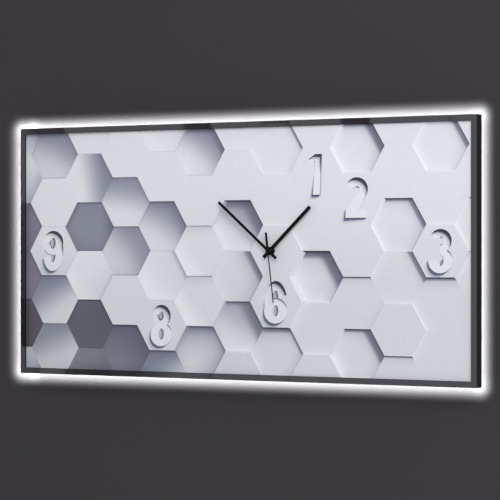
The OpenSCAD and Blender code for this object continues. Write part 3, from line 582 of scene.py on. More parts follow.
def soft_shade(rise, facing, d, right):
    """Wide painted shade of a higher neighbour; d is the distance from its edge, in millimetres."""
    reach = (5.0 + 3.0 * rise) * (1.45 - 0.85 * right)
    strength = facing ** 0.5 * (1 - math.exp(-rise / 1.8)) * (1.25 - 0.73 * right)
    return np.clip(strength * np.exp(-(d / reach) ** 1.4), 0, 0.97)


def edge_band(rise, facing, d, right, wider):
    """Narrow painted shadow along the foot of a higher neighbour."""
    width = (0.6 + 1.2 * rise + 0.28 * rise * rise) * facing * wider
    strength = (0.58 + 0.08 * min(rise, 3.0)) * (0.22 + 0.78 * right) * min(1.0, 2.5 * facing)
    if facing < 0.5:
        strength = strength * float(smooth(0.6, 2.4, rise))
    return strength * (1 - smooth(0.55 * right * width, (2.0 - 0.6 * right) * width, d))


def edge_glow(rise, facing, d, right):
    """Painted light along the foot of a higher neighbour whose wall looks into the light."""
    reach = (4.0 + 1.6 * rise) * (2.2 - 1.2 * right)
    return (0.34 - 0.70 * facing) * (1 - math.exp(-rise / 1.2)) * np.exp(-d / reach)


def shade(key, pts):
    """The tone painted on a tile: the print's pale tone, with painted shade of higher neighbours on its
    upper right and painted light along its lower left.
    """
    t = tiles[key]
    deep, from_middle = t["deep"], pts - t["c"]
    u, v = pts[:, 0], pts[:, 1]
    right = rightness(u)
    way, lift = light_way(t["c"][0]), 0.75
    rises = rises_round(key, COMMON if t["c"][0] < EDGED_TO else deep)
    if key in ACROSS:
        way = direction(ACROSS[key][0])
    else:
        shaded = max(rise * float(edge @ way) for rise, edge in zip(rises, EDGE_WAY))
        lift = 0.6 * float(smooth(0.3, 1.5, shaded))
    # painted light: shaded tiles on the left start from a lighter tone
    tone = mix(pale(u, v), PAINTED_LIGHT_LEFT, lift * (1 - right))
    # painted shade: a little darker in the far lower left corner
    tone = tone * (1 - 0.04 * smooth(-0.20, -0.26, u) * smooth(0.02, -0.03, v))[:, None]
    if key in PAINTED_GLOW_TILES:
        tone = mix(tone, PAINTED_LIGHT, 0.12 + 0.55 * smooth(0.1, 0.9, -from_middle @ direction(40) / APOTHEM))
    dark = band = glow = np.zeros(len(pts))
    for edge, rise in enumerate(rises):
        if rise <= 0:
            continue
        d = np.maximum(APOTHEM - from_middle @ EDGE_WAY[edge], 0) * 1000
        if edge == 0:
            d = np.maximum(d - HIDDEN * rise, 0)
        facing = float(EDGE_WAY[edge] @ way)
        if facing > 0.02:
            dark = 1 - (1 - dark) * (1 - soft_shade(rise, facing, d, right))
            band = 1 - (1 - band) * (1 - edge_band(rise, facing, d, right, 1.25 if edge == 0 else 1.0))
        else:
            glow = np.maximum(glow, edge_glow(rise, facing, d, right))
    if key in ACROSS:
        side = smooth(-0.55, 0.85, from_middle @ way / APOTHEM)
        dark = ACROSS[key][1] * (1 - (1 - 0.72 * side) * (1 - 0.62 * dark))
    tone = mix(tone, mix(PAINTED_LIGHT_LEFT, PAINTED_LIGHT, right), np.clip(glow * (1 - 0.7 * dark), 0, 1))
    tone = mix(tone, SHADED, np.clip(dark, 0, 1))
    tone = mix(tone, BAND_SHADOW, np.clip(band, 0, 1))
    # painted shade: the deepest tiles on the left are darkened
    low = mix(DEEP_SHADE[1], DEEP_SHADE[0], smooth(0.03, -0.09, v))
    low = mix(low, DEEP_SHADE_RIGHT, smooth(-0.19, -0.16, u))
    tone = mix(tone, low, 0.95 * smooth(4.7, 5.9, deep) * (1 - smooth(-0.13, -0.06, u)))
    # painted shade: the deepest tiles at the far left turn a dark purple
    if deep > SUNK and t["c"][0] < FAR_LEFT:
        purple_shade = mix(PURPLE_SHADE[1], PURPLE_SHADE[0], smooth(0.0, -0.08, v) * (1.0 if deep > 5.5 else 0.2))
        tone = mix(tone, purple_shade, 0.85)
    return tone


def wall_tone(p, facing_way, floor=None):
    """Tone of a small wall that looks along a direction of the face: painted light where it looks into the
    light, painted shade where it looks away; on the left it is its floor's.
    """
    right = float(rightness(p[0]))
    f = float(facing_way @ direction(40 + 20 * right))
    plain = pale(np.array(p[0]), np.array(p[1]))
    # a wall seen nearly side-on is painted a little lighter, and on the left a wall that looks into the
    # light a little darker, against the lamps' own shading
    if floor is not None and abs(f) < 0.3:
        own = np.minimum(plain * 1.05, 250)
    elif f > 0:
        own = mix(plain, WALL_LIT, min(1.2 * f, 1) * (0.15 + 0.25 * right))
    else:
        own = mix(plain, mix(WALL_SHADE_LEFT, WALL_SHADE, right), min(-1.25 * f, 1))
    return own if floor is None else mix(floor * (0.93 if f > 0 else 1.0), own, right)


# Figures of the dial, each a set of plain strokes around its own middle, in millimetres
def band_loop(cx, cy, rx, ry, hole_x, hole_y, start, end, n=40):
    a = np.radians(np.linspace(start, end, n))
    outer = [(cx + rx * math.cos(t), cy + ry * math.sin(t)) for t in a]
    inner = [(cx + hole_x * math.cos(t), cy + hole_y * math.sin(t)) for t in a[::-1]]
    return outer + inner


def ring(cx, cy, rx, ry, hole_x, hole_y):
    return [band_loop(cx, cy, rx, ry, hole_x, hole_y, start, start + 186) for start in (-3, 177)]


SIX = ring(0, -9.9, 14.6, 14.6, 3.4, 6.4) + [band_loop(0, 0, 14.6, 24.5, 3.8, 13.7, 20, 200, 48)]
FIGURES = {
    (-6, 0): [[(-x, -y) for x, y in loop] for loop in SIX],
    (0, -1): SIX,
    (-3, -2): ring(0, 11.6, 12.6, 12.9, 3.0, 4.6) + ring(0, -10.2, 14.2, 14.3, 3.4, 6.6),
    (4, 0): [band_loop(0.4, 11.6, 13.2, 12.9, 3.4, 4.4, -92, 150),
             band_loop(0.4, -10.2, 14.2, 14.3, 3.8, 6.2, -180, 92)],
    (1, 1): [[(-3.2, -24.2), (5.6, -24.2), (7.4, 22.2), (-1.4, 22.2)],
             [(-1.2, 22.2), (-9.4, 16.8), (-9.4, 12.0), (-1.0, 15.0)]],
    (2, 1): [band_loop(0, 11.2, 13.8, 13.2, 3.8, 3.6, -34, 164),
             [(-13.0, -21.4), (12.0, -21.4), (12.0, -13.0), (2.4, -13.0), (13.0, 6.0), (3.6, 9.0),
              (-13.0, -12.0)]],
}
FIGURE_TILT = np.array([0.040, 0.085])
# Half the size of the field of close points round a figure, and their distance, in millimetres
FIELD, FIELD_GAP = np.array([18, 27]), 0.8


def inside(loops, pts):
    """Which points lie in any of the loops."""
    out = np.zeros(len(pts), bool)
    x, y = pts[:, 0:1], pts[:, 1:2]
    for loop in loops:
        a = np.asarray(loop)
        b = np.roll(a, -1, axis=0)
        cross = (a[:, 1] > y) != (b[:, 1] > y)
        with np.errstate(divide="ignore", invalid="ignore"):
            at = (b[:, 0] - a[:, 0]) * (y - a[:, 1]) / (b[:, 1] - a[:, 1]) + a[:, 0]
        out |= (np.sum(cross & (x < at), axis=1) % 2).astype(bool)
    return out


def figure_lift(q):
    """How far a figure stands in front of its tile, in metres; q is in millimetres from its middle."""
    return (-(q @ FIGURE_TILT) - 0.1) / 1000


def figure_shadow(loops, q, way, on_figure):
    """Painted soft shade of a figure's walls: inside it where it is sunk, beside it where it stands proud.
    """
    dark = np.zeros(len(q))
    done = np.zeros(len(q), bool)
    for s in np.linspace(0.05, 9.0, 60):
        p = q + way * s
        there = inside(loops, p)
        new = (~there if on_figure else there) & ~done
        drop = np.maximum(figure_lift(p[new]) * (-1000 if on_figure else 1000), 0.02)
        crisp = np.clip(3.0 * (1 - s / (2.8 * drop)), 0, 1)
        soft = np.clip(1 - s / (5.0 * drop), 0, 1)
        dark[new] = np.maximum(crisp, 0.5 * soft) * smooth(0.0, 0.35, drop)
        done |= new
    return dark


def hole_shade(loops, q):
    """Painted shade in a figure's holes, where it is close by on all four sides: dark along their right
    side.
    """
    steps = np.linspace(0.5, 14.0, 28)
    hits = [np.array([inside(loops, q + direction(a) * s) for s in steps]) for a in (0, 90, 180, 270)]
    to_right = steps[np.argmax(hits[0], axis=0)]
    return np.all(np.any(hits, axis=1), axis=0) * (1 - 0.75 * smooth(1.0, 4.5, to_right))


# The dial's relief
CHAMFER = 0.0004
# How far a slope reaches into its floor: at its foot, and for each millimetre of height
FOOT, STEEP, EASY = 0.0003, 0.00025, 0.00045
# Rows of points along a floor's outline, and the plain grid inside them
BANDS = (0.0004, 0.0010, 0.0016, 0.0022, 0.0029, 0.0037, 0.0047, 0.0060)
ROW_STEP, FLOOR_GAP, FLOOR_MARGIN, FIELD_MARGIN = 0.0022, 0.0026, 0.0066, 0.0005
SLOPE_STEP, RIM_STEP = 0.004, 0.003
dial = Build()


def slope_run(edge, rise):
    return (STEEP if edge in (0, 5) else EASY) * rise + FOOT if rise > 0 else CHAMFER


def slope_top(deep, rise):
    return tile_y(min(deep, deep - rise)) + min(CHAMFER, abs(rise) / 2000)


def row_points(pts):
    """Points along a loop with short steps, so that tones can change along it."""
    return np.array([s for p, q in closed(pts) for s in divide(p, q, steps_in(p, q, ROW_STEP))[:-1]])


def floor_mesh(t, figure):
    """A tile's floor as points and triangles, and which triangles belong to its figure."""
    rim = points_of(t["floor"])
    loop = row_points(rim)
    grid = grid_points(loop.min(0), loop.max(0), FLOOR_GAP)
    fill = [grid[within(rim, grid, FLOOR_MARGIN)]]
    for inset in BANDS:
        # rows that follow the outline, close together where the shade changes fast
        small = t["floor"]
        for p, q in closed(rim):
            if np.linalg.norm(q - p) > 1e-9:
                n = outward(p, q)
                small = clip(small, n, float(n @ p) - inset, 0)
        if len(small) > 2:
            fill.append(row_points(points_of(small)))
    fill = np.vstack(fill)
    if figure:
        fill = fill[~np.all(np.abs((fill - t["c"]) * 1000) < FIELD, axis=1)]
        close = grid_points(-FIELD, FIELD, FIELD_GAP)
        close = t["c"] + close[np.all(np.abs(close) < FIELD, axis=1)] / 1000
        fill = np.vstack([fill, close[within(rim, close, FIELD_MARGIN)]])
    loops = [loop] + [t["c"] + np.array(stroke) / 1000 for stroke in figure]
    ends = np.cumsum([len(pts) for pts in loops])
    rings = [list(range(end - len(pts), end)) for pts, end in zip(loops, ends)]
    points = [Vector(p) for p in np.vstack(loops + [fill])]
    verts, _, faces, _, _, origin = delaunay_2d_cdt(points, [], rings, 1, 1e-7)
    return np.array([(v.x, v.y) for v in verts]), faces, [any(o > 0 for o in ids) for ids in origin]


def add_floor(key):
    t, figure = tiles[key], FIGURES.get(key, [])
    y = tile_y(t["deep"])
    flat, faces, marks = floor_mesh(t, figure)
    tone = plain = shade(key, flat)
    if figure:
        way = light_way(t["c"][0])
        q = (flat - t["c"]) * 1000
        # painted shadow of the figure on its tile, and painted shade in its holes
        tone = mix(tone, FIGURE_SHADE, 0.95 * figure_shadow(figure, q, way, False))
        tone = mix(tone, HOLE_SHADE_TONE, 0.8 * hole_shade(figure, q))
    dial.add([at_depth(p, y) for p in flat], [f[::-1] for f, mark in zip(faces, marks) if not mark], 0, tone)
    if not figure:
        return
    lift = figure_lift(q)
    # the figure's face is painted lighter than its tile, with painted shade under the tile's edge where it
    # is sunk
    tone = mix(mix(plain, PAINTED_LIGHT, 0.35), FIGURE_DEEP_SHADE, 0.97 * figure_shadow(figure, q, way, True))
    dial.add([at_depth(p, y - h) for p, h in zip(flat, lift)],
             [f[::-1] for f, mark in zip(faces, marks) if mark], 0, tone)
    # walls between the figure and its tile, with painted light and shade
    sides = {}
    for f, mark in zip(faces, marks):
        for a, b in zip(f, f[1:] + f[:1]):
            sides.setdefault((min(a, b), max(a, b)), []).append((mark, a, b))
    for pair in sides.values():
        if len(pair) == 2 and pair[0][0] != pair[1][0]:
            _, a, b = next(s for s in pair if s[0])
            out = outward(flat[a], flat[b]) * (-1 if (lift[a] + lift[b]) / 2 < 0 else 1)
            quad = [at_depth(flat[a], y), at_depth(flat[b], y),
                    at_depth(flat[b], y - lift[b]), at_depth(flat[a], y - lift[a])]
            dial.add(quad, [(0, 1, 2, 3)], 0, [wall_tone(flat[a], out)] * 4)


def strip_faces(n):
    """Faces between two rows of n steps."""
    return [(i, i + 1, n + 2 + i, n + 1 + i) for i in range(n)]


def add_slopes(key):
    """Slopes from a tile's edges up to higher neighbours, or its own chamfers down to lower ones, with
    painted light and shade.
    """
    t = tiles[key]
    y = tile_y(t["deep"])
    tops = [slope_top(t["deep"], rise) if rise else y for rise in t["rises"]]
    outer, inner = labelled(t["outline"]), labelled(t["floor"])
    for edge, rise in enumerate(t["rises"]):
        if not rise or edge not in outer or edge not in inner:
            continue
        (a, b), (c, d) = outer[edge], inner[edge]
        n = steps_in(a, b, SLOPE_STEP)
        foot, head = divide(c, d, n), divide(a, b, n)
        out = -EDGE_WAY[edge] if rise > 0 else EDGE_WAY[edge]
        floor = shade(key, np.array(foot))
        tones = [wall_tone(p, out, tone) for p, tone in zip(foot + head, [*floor, *floor])]
        dial.add([at_depth(p, y) for p in foot] + [at_depth(p, tops[edge]) for p in head],
                 strip_faces(n), 0, tones)
        # the corners where two slopes of different height meet
        for corner, low, near, tone in ((a, c, edge - 1, floor[0]), (b, d, (edge + 1) % 6, floor[-1])):
            if abs(tops[near] - tops[edge]) > 1e-6:
                dial.add([at_depth(corner, tops[edge]), at_depth(corner, tops[near]), at_depth(low, y)],
                         [(0, 1, 2)], 0, [wall_tone(corner, out, tone)] * 3)


for key, t in tiles.items():
    t["rises"] = rises_round(key, t["deep"])
    t["floor"] = t["outline"]
    for edge, rise in enumerate(t["rises"]):
        if rise:
            reach = float(EDGE_WAY[edge] @ t["c"]) + APOTHEM - slope_run(edge, rise)
            t["floor"] = clip(t["floor"], EDGE_WAY[edge], reach, edge)
    add_floor(key)
    add_slopes(key)

# The plain rim under the frame's lip, its inner wall and the panel's back
rim_out = rectangle(panel_high.x, HALF_H - (TOP - panel_high.z))
rim_in = rectangle(OPEN_W, OPEN_H)
dial.add([at_depth(p, PANEL_FRONT) for p in rim_out + rim_in], tube(2, 4), 0, [RIM_TONE] * 8)
for a, b in closed(np.array(rim_in)):
    n = steps_in(a, b, RIM_STEP)
    steps = divide(a, b, n)
    # the inner wall takes the tone of the tile beside it, painted a little darker as shade
    tone = [0.92 * shade(tile_at(p * 0.999), p[None, :])[0] for p in steps]
    dial.add([at_depth(p, y) for y in (PANEL_FRONT, tile_y(DEEPEST)) for p in steps],
             strip_faces(n), 0, tone + tone)
dial.add([at_depth(p, y) for y in (PANEL_FRONT, PANEL_REAR) for p in rim_out],
         [f[::-1] for f in tube(2, 4)] + [(7, 6, 5, 4)], 1, [BACK_TONE] * 8)
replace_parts(dial.finish("dial_relief", [PRINT_AND_PAINTED_SHADE, BACK], None), "dial_panel")

# Frame rails: channel section with broken edges, mitred, the dial's picture with its painted shade running
# on darkly over the lip; the sides and back are painted darker as shade
BREAK = 0.00035
SECTION = [
    (LIP_W, FRAME_FRONT + LIP_T), (LIP_W, FRAME_FRONT + BREAK), (LIP_W - BREAK, FRAME_FRONT),
    (LIP_W * 0.66, FRAME_FRONT), (LIP_W * 0.33, FRAME_FRONT), (BREAK, FRAME_FRONT),
    (0.0, FRAME_FRONT + BREAK),
    (0.0, FRAME_REAR - BREAK), (BREAK, FRAME_REAR), (FLANGE_W - BREAK, FRAME_REAR),
    (FLANGE_W, FRAME_REAR - BREAK), (FLANGE_W, FRAME_REAR - FLANGE_T), (WALL_T, FRAME_REAR - FLANGE_T),
    (WALL_T, FRAME_FRONT + LIP_T),
]
# the lip's range of tone, and the darker tone painted as shade on the sides and back
LIP_DARK, LIP_PALE, RAIL_SIDE_SHADE = (30, 28, 33), (80, 79, 85), (20, 18, 23)
# How far in from its edge the picture runs on from, and the even stretch at its right end
RUN_ON, EVEN_RIGHT = 0.004, 0.03


# the lip follows the dial's tone there, painted shade included
def lip_tone(u, v):
    p = np.array([np.clip(u, -HALF_W + RUN_ON, HALF_W - EVEN_RIGHT),
                  np.clip(v, -HALF_H + RUN_ON, HALF_H - RUN_ON)])
    key = tile_at(p)
    light = shade(key, p[None, :])[0].mean() / 222 if key and u < HALF_W - EVEN_RIGHT else 0.97
    return mix(LIP_DARK, LIP_PALE, float(np.clip((light - 0.40) / 0.55, 0, 1)))


def rail(name, long, sign):
    half, off, count = (HALF_W, HALF_H, 240) if long else (HALF_H, HALF_W, 120)
    verts, tones = [], []
    for i in range(count + 1):
        for inset, y in SECTION:
            s = -(half - inset) + 2 * (half - inset) * i / count
            u, v = (s * sign, (off - inset) * sign) if long else ((off - inset) * sign, -s * sign)
            verts.append(at_depth((u, v), y))
            tones.append(lip_tone(u, v) if y < FRAME_FRONT + BREAK / 2 else RAIL_SIDE_SHADE)
    ends = [f[::-1] for f in caps(count + 1, len(SECTION))]
    build = Build()
    build.add(verts, tube(count + 1, len(SECTION)) + ends, 0, tones)
    return build.finish(name, [LIP], None)


for side, long, sign in (("top", True, 1), ("bottom", True, -1), ("right", False, 1), ("left", False, -1)):
    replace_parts(rail("rail_" + side, long, sign), "frame_%s_rail" % side)

# Solids that only need their edges rounded; the last ones move
for node, width, material, slot, *body in (
    ("subframe_top_bar", 0.22, WOOD_X, "carrier_wood"), ("subframe_bottom_bar", 0.8, WOOD_X, "carrier_wood"),
    ("subframe_left_bar", 0.8, WOOD_Z, "carrier_wood"), ("subframe_right_bar", 0.8, WOOD_Z, "carrier_wood"),
    ("subframe_braces", 0.3, STEEL, "plated_steel"), ("corner_angles", 0.25, STEEL, "plated_steel"),
    ("hanger_plates", 0.25, STEEL, "plated_steel"), ("wall_bumpers", 0.5, RUBBER, "rubber_black"),
    ("led_corner_clips", 0.3, CLIP, "clip_white"), ("dc_socket", 0.25, SOCKET, "socket_black"),
    ("dc_socket_nut", 0.25, STEEL, "plated_steel"), ("movement_case", 0.5, CASE, "case_black"),
    ("movement_cover", 0.4, COVER, "case_black"), ("threaded_bushing", 0.15, BRASS, "brass"),
    ("rubber_gasket", 0.15, RUBBER, "rubber_black"), ("dial_washer", 0.12, NUT, "nut_black"),
    ("fixing_nut", 0.25, NUT, "nut_black"), ("battery_contact_positive", 0.08, STEEL, "plated_steel"),
    ("battery_contact_negative", 0.08, STEEL, "plated_steel"), ("circuit_board", 0.1, BOARD, "board_green"),
    ("quartz_crystal", 0.2, STEEL, "plated_steel"), ("coil_core", 0.15, MOTOR_STEEL, "motor_steel"),
    ("stator", 0.12, MOTOR_STEEL, "motor_steel"),
    ("hour_hand", 0.12, HAND, "hand_black", "hour"), ("minute_hand", 0.12, HAND, "hand_black", "minute"),
    ("second_hand", 0.1, HAND, "hand_black", "seconds"), ("set_knob", 0.3, KNOB, "knob_grey", "knob"),
    ("minute_arbor", 0.08, BRASS, "brass", "minute"), ("hour_wheel", 0.05, GEAR, "gear_ivory", "hour"),
    ("minute_wheel", 0.05, GEAR, "gear_ivory", "minute_gear"),
    ("second_wheel", 0.05, GEAR, "gear_ivory", "seconds"),
    ("rotor", 0.05, GEAR, "gear_ivory", "rotor"), ("fifth_wheel", 0.05, GEAR, "gear_ivory", "fifth"),
    ("third_wheel", 0.05, GEAR, "gear_ivory", "third"), ("centre_wheel", 0.05, GEAR, "gear_ivory", "centre"),
):
    solid = soften(node, width, material, slot, *body)
    if node in ("threaded_bushing", "minute_arbor", "hour_wheel", "second_wheel"):
        blacken(solid)
nodes["dc_centre_pin"].data.materials.clear()
nodes["dc_centre_pin"].data.materials.append(BRASS)

# Moulded details of the movement's cover, in the plane of its back: across, down and away from it
low, high = span("movement_cover")
knob_low, knob_high = span("set_knob")
cell_low, cell_high = span("battery")
DOWN = np.array([0.0, 0, -1])
knob_at = np.array([(knob_low[0] + knob_high[0]) / 2, high[1], (knob_low[2] + knob_high[2]) / 2])
knob_r = (knob_high[0] - knob_low[0]) / 2
build = Build()


def turned(degrees):
    c, s = direction(degrees)
    return X * c + DOWN * s


def mould(x, z, half_x, half_z, rise):
    """A low block on the cover."""
    middle = np.array([x, high[1] + rise / 2, z])
    build.block(middle, X, DOWN, Y, (half_x, half_z, rise / 2), min(rise, half_z) * 0.4)


def hoop(centre, inner, outer, rise, start=0.0, end=360.0, n=64):
    """A low raised band round a point of the cover, whole or cut off at two angles."""
    edge = 0.3 * min(rise, outer - inner)
    section = [(inner, 0), (inner, rise - edge), (inner + edge, rise), (outer - edge, rise),
               (outer, rise - edge), (outer, 0)]
    whole = end - start >= 360
    rings, m = n if whole else n + 1, len(section)
    ways = [turned(start + (end - start) * i / n) for i in range(rings)]
    verts = [centre + Y * h + r * way for way in ways for r, h in section]
    build.add(verts, tube(rings, m, whole) + ([] if whole else caps(rings, m)))


# collar and turning arrows round the knob
ARROW_H = 0.0002
hoop(knob_at, knob_r + 0.0008, knob_r + 0.0015, 0.0005)
for start, end, base, tip in ((112, 158, 112, 102), (202, 248, 248, 258)):
    hoop(knob_at, knob_r + 0.0030, knob_r + 0.0036, ARROW_H, start, end, 24)
    head = [(knob_r + 0.0033, tip), (knob_r + 0.0046, base), (knob_r + 0.0020, base)]
    if tip > base:
        head.reverse()
    flat = [knob_at + r * turned(a) for r, a in head]
    build.add(flat + [p + Y * ARROW_H for p in flat],
              [(3, 4, 5), (2, 1, 0), (0, 1, 4, 3), (1, 2, 5, 4), (2, 0, 3, 5)])
# grip ribs, snap tongues, round marks of the mould and the battery's polarity
for i in range(6):
    mould(low[0] + 0.017, high[2] - 0.0060 - 0.0019 * i, 0.0085, 0.00045, 0.0004)
for x in (low[0] + 0.012, high[0] - 0.012):
    mould(x, high[2] - 0.0018, 0.0034, 0.0007, 0.0006)
for x, drop in ((low[0] + 0.007, 0.026), (low[0] + 0.036, 0.030), (high[0] - 0.008, 0.008)):
    hoop(np.array([x, high[1], high[2] - drop]), 0.0019, 0.0022, 0.00012)
MARK_IN, MARK_UP, MARK_L, MARK_W = 0.0045, 0.0026, 0.0014, 0.0003
for x in (cell_low[0] + MARK_IN, cell_high[0] - MARK_IN):
    mould(x, low[2] + MARK_UP, MARK_L, MARK_W, 0.0003)
mould(cell_high[0] - MARK_IN, low[2] + MARK_UP, MARK_W, MARK_L, 0.00029)
build.finish("cover_moulding", [COVER])

# Screws with a cross recess in the head
PAN_HEAD, DOME, SHOULDER, POINT = 0.0016, 0.0006, 0.0002, 0.0008
ARM_HALF, ARM_REACH, CROSS_DEEP, CROSS_SOFT = 0.00032, 0.0015, 0.0009, 0.00012
HEAD_SIDES, SHANK_SIDES = 64, 40


def screw(build, pts, countersunk):
    low, high = pts.min(0), pts.max(0)
    mid, size = (low + high) / 2, high - low
    k = int(np.argmax(size))
    across = [i for i in range(3) if i != k]

    def girth(at):
        near = pts[np.abs(pts[:, k] - at) < 2e-4]
        return max(np.linalg.norm(near[:, across] - mid[across], axis=1)) if len(near) else 0

    head_up = girth(high[k]) > girth(low[k])
    axis, top = np.zeros(3), mid.copy()
    axis[k] = 1 if head_up else -1
    top[k] = high[k] if head_up else low[k]
    # each screw is left at a turn of its own
    turn = math.radians((abs(top[0]) * 7919 + abs(top[2]) * 6271) * 1000 % 90)
    c, s = math.cos(turn), math.sin(turn)
    side = np.eye(3)[across[0]]
    other = np.cross(axis, side)
    side, other = side * c + other * s, other * c - side * s
    radius, shank, length = girth(top[k]), girth(low[k] if head_up else high[k]), size[k]
    head, drop = (radius - shank, 0.0) if countersunk else (PAN_HEAD, DOME)
    radii = [0.0002 * i for i in range(1, 10)] + [0.0021, radius * 0.9, radius]
    verts = []
    for r in radii:
        for c, s in circle(HEAD_SIDES):
            x, z = r * c, r * s
            arm = max(min(abs(x), abs(z)) - ARM_HALF, max(abs(x), abs(z)) - ARM_REACH)
            hollow = CROSS_DEEP * float(smooth(CROSS_SOFT, -CROSS_SOFT, arm)) * (1 - 0.25 * r / ARM_REACH)
            dome = drop * (r / radius) ** 2.4
            verts.append(top - axis * (dome + hollow) + side * x + other * z)
    faces = [(a, d, c, b) for a, b, c, d in tube(len(radii), HEAD_SIDES)]
    build.add(verts, faces + [tuple(range(HEAD_SIDES))])
    under = (-head, shank) if countersunk else (-head + SHOULDER, radius)
    profile = [(-drop, radius), under, (-head, shank), (-length + POINT, shank), (-length, shank * 0.4)]
    build.lathe(profile, top, axis, side, [0] * 4, SHANK_SIDES)


for node, countersunk in (("corner_screws", False), ("brace_screws", False), ("hanger_screws", True)):
    build = Build()
    for pts in islands(node):
        screw(build, pts, countersunk)
    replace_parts(build.finish(node + "_cross", [STEEL]), node)


# Lamps: a white body with a round phosphor well, on strips with pads and small resistors
def facing_out(low, high):
    """Middle and size of a box on the carrier's side, its thin axis, and the ways along, across and out."""
    mid, size = (low + high) / 2, high - low
    k = 0 if size[0] < size[2] else 2
    z = np.zeros(3)
    z[k] = math.copysign(1, mid[k] - (FACE_Z if k == 2 else 0))
    x = Z if k == 0 else X
    return mid, size, k, x, np.cross(z, x), z


def lamp(build, mid, x, y, z, half, rise):
    turns = circle(24)
    rows = [(1.0, -rise), (1.0, rise - 0.00025), (0.95, rise)]
    well = [(0.0021, rise), (0.0019, rise - 0.00035), (0.0010, rise - 0.00025), (0.0002, rise - 0.00022)]
    # a square with its corners cut off
    square = [(c, s, min(half / max(abs(c), 1e-9), half / max(abs(s), 1e-9), half * 1.3)) for c, s in turns]
    verts = [mid + (x * c + y * s) * r * f + z * h for f, h in rows for c, s, r in square]
    verts += [mid + (x * c + y * s) * r + z * h for r, h in well for c, s in turns]
    rings, n = len(rows) + len(well), len(turns)
    kinds = [int(level >= len(rows)) for level in range(rings - 1) for _ in range(n)] + [1, 0]
    build.add(verts, tube(rings, n) + caps(rings, n)[::-1], kinds)


chips = []
build = Build()
for pts in islands("led_chips"):
    mid, size, k, x, y, z = facing_out(pts.min(0), pts.max(0))
    lamp(build, mid, x, y, z, size[1] / 2, size[k] / 2)
    chips.append(mid)
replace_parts(build.finish("led_chips_lit", [CHIP, LAMP]), "led_chips")

# Half sizes along, across and out, and places from the lamp, the resistor and the cutting line
RESISTOR_HALF, RESISTOR_AT = (0.0008, 0.0005, 0.00022), (0.0046, 0.0022)
CAP_HALF, CAP_AT = (0.0002, 0.0005, 0.00018), 0.0009
PAD_HALF, PAD_AT = (0.0009, 0.0011, 0.00006), (0.0011, 0.0026)
LAMPS_PER_CUT = 3
for node in ("led_strip_top", "led_strip_left", "led_strip_right", "led_strip_bottom_left",
             "led_strip_bottom_right"):
    low, high = span(node)
    mid, size, k, x, y, z = facing_out(low, high)
    long = 2 - k
    build = Build()
    build.block(mid, x, y, z, (size[long] / 2, size[1] / 2, size[k] / 2), 0.0001)
    top = mid + z * size[k] / 2
    spots = sorted(float(c @ x) for c in chips if abs(float((c - top) @ z)) < 0.003
                   and low[long] < float(c @ x) < high[long])
    for i, s in enumerate(spots):
        here = top + x * (s - float(top @ x))
        part = here + x * RESISTOR_AT[0] + y * RESISTOR_AT[1]
        build.block(part, x, y, z, RESISTOR_HALF, 0.00006, 2)
        for e in (-1, 1):
            build.block(part + x * e * CAP_AT, x, y, z, CAP_HALF, 0.00005, 1)
        if i % LAMPS_PER_CUT == LAMPS_PER_CUT - 1 and i + 1 < len(spots):
            cut = here + x * (spots[i + 1] - s) / 2
            for e in (-1, 1):
                for w in (-1, 1):
                    build.block(cut + x * e * PAD_AT[0] + y * w * PAD_AT[1], x, y, z, PAD_HALF, 0.00003, 1)
    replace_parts(build.finish(node + "_laid", [STRIP, PAD, RESISTOR]), node)

# Supply leads: round insulation with a bare tinned end at the socket's tab
LEAD_SIDES = 16
for node, material, slot in (("supply_lead_red", RED, "lead_red"),
                             ("supply_lead_black", BLACK_LEAD, "lead_black")):
    low, high = span(node)
    r, mid_y = (high[1] - low[1]) / 2, (high[1] + low[1]) / 2
    x0, x1 = low[0] + r, high[0] - r
    arc = (x1 - x0) / 2
    spring = high[2] - r - arc
    # the way it runs, with the angle at which each ring stands: up, over in a half circle and down
    route = [(x0, spring - drop, 180.0) for drop in (0.003, 0.0022, 0.0021)]
    for a in np.linspace(180, 0, 33):
        c, s = direction(a)
        route.append((x0 + arc + arc * c, spring + arc * s, a))
    route += [(x1, spring - (spring - low[2]) * f, 0.0) for f in (0.25, 0.5, 0.75, 1.0)]
    verts = []
    for i, (px, pz, a) in enumerate(route):
        girth = r * 0.96 if i > 1 else r * 0.55
        for c, s in circle(LEAD_SIDES):
            out = girth * c * direction(a)
            verts.append((px + out[0], mid_y + girth * s, pz + out[1]))
    kinds = [int(i < 1) for i in range(len(route) - 1) for _ in range(LEAD_SIDES)] + [1, 0]
    build = Build()
    build.add(verts, tube(len(route), LEAD_SIDES) + caps(len(route), LEAD_SIDES), kinds)
    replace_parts(build.finish(node + "_round", [material, TINNED], 40), node)

# Battery: a plain two-tone sleeve, shrunk over the shoulders of the can
low, high = span("battery")
mid, r = (low + high) / 2, (high[1] - low[1]) / 2
length = high[0] - low[0]
data = np.array([v.co for v in nodes["battery"].data.vertices])
right_tip = data[data[:, 0] > high[0] - 1e-4]
plus = 1 if np.max(np.abs(right_tip[:, 1] - mid[1])) < 0.8 * r else -1
tip = np.array([high[0] if plus > 0 else low[0], mid[1], mid[2]])
profile = [(0, 0.0004), (0, 0.0023), (-0.00015, 0.0026), (-0.001, 0.0027), (-0.001, r * 0.78),
           (-0.00105, r * 0.93), (-0.0014, r * 0.985), (-0.002, r), (-0.0135, r), (-0.0137, r),
           (-length + 0.0012, r), (-length + 0.0005, r * 0.98), (-length + 0.0002, r * 0.92),
           (-length + 0.0002, r * 0.80), (-length, r * 0.74), (-length, 0.0004)]
build = Build()
build.lathe(profile, tip, X * plus, Y, [2, 2, 2, 2, 0, 0, 0, 1, 1, 0, 0, 0, 2, 2, 2], 64)
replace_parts(build.finish("battery_sleeved", [SLEEVE, SLEEVE_BAND, STEEL]), "battery")

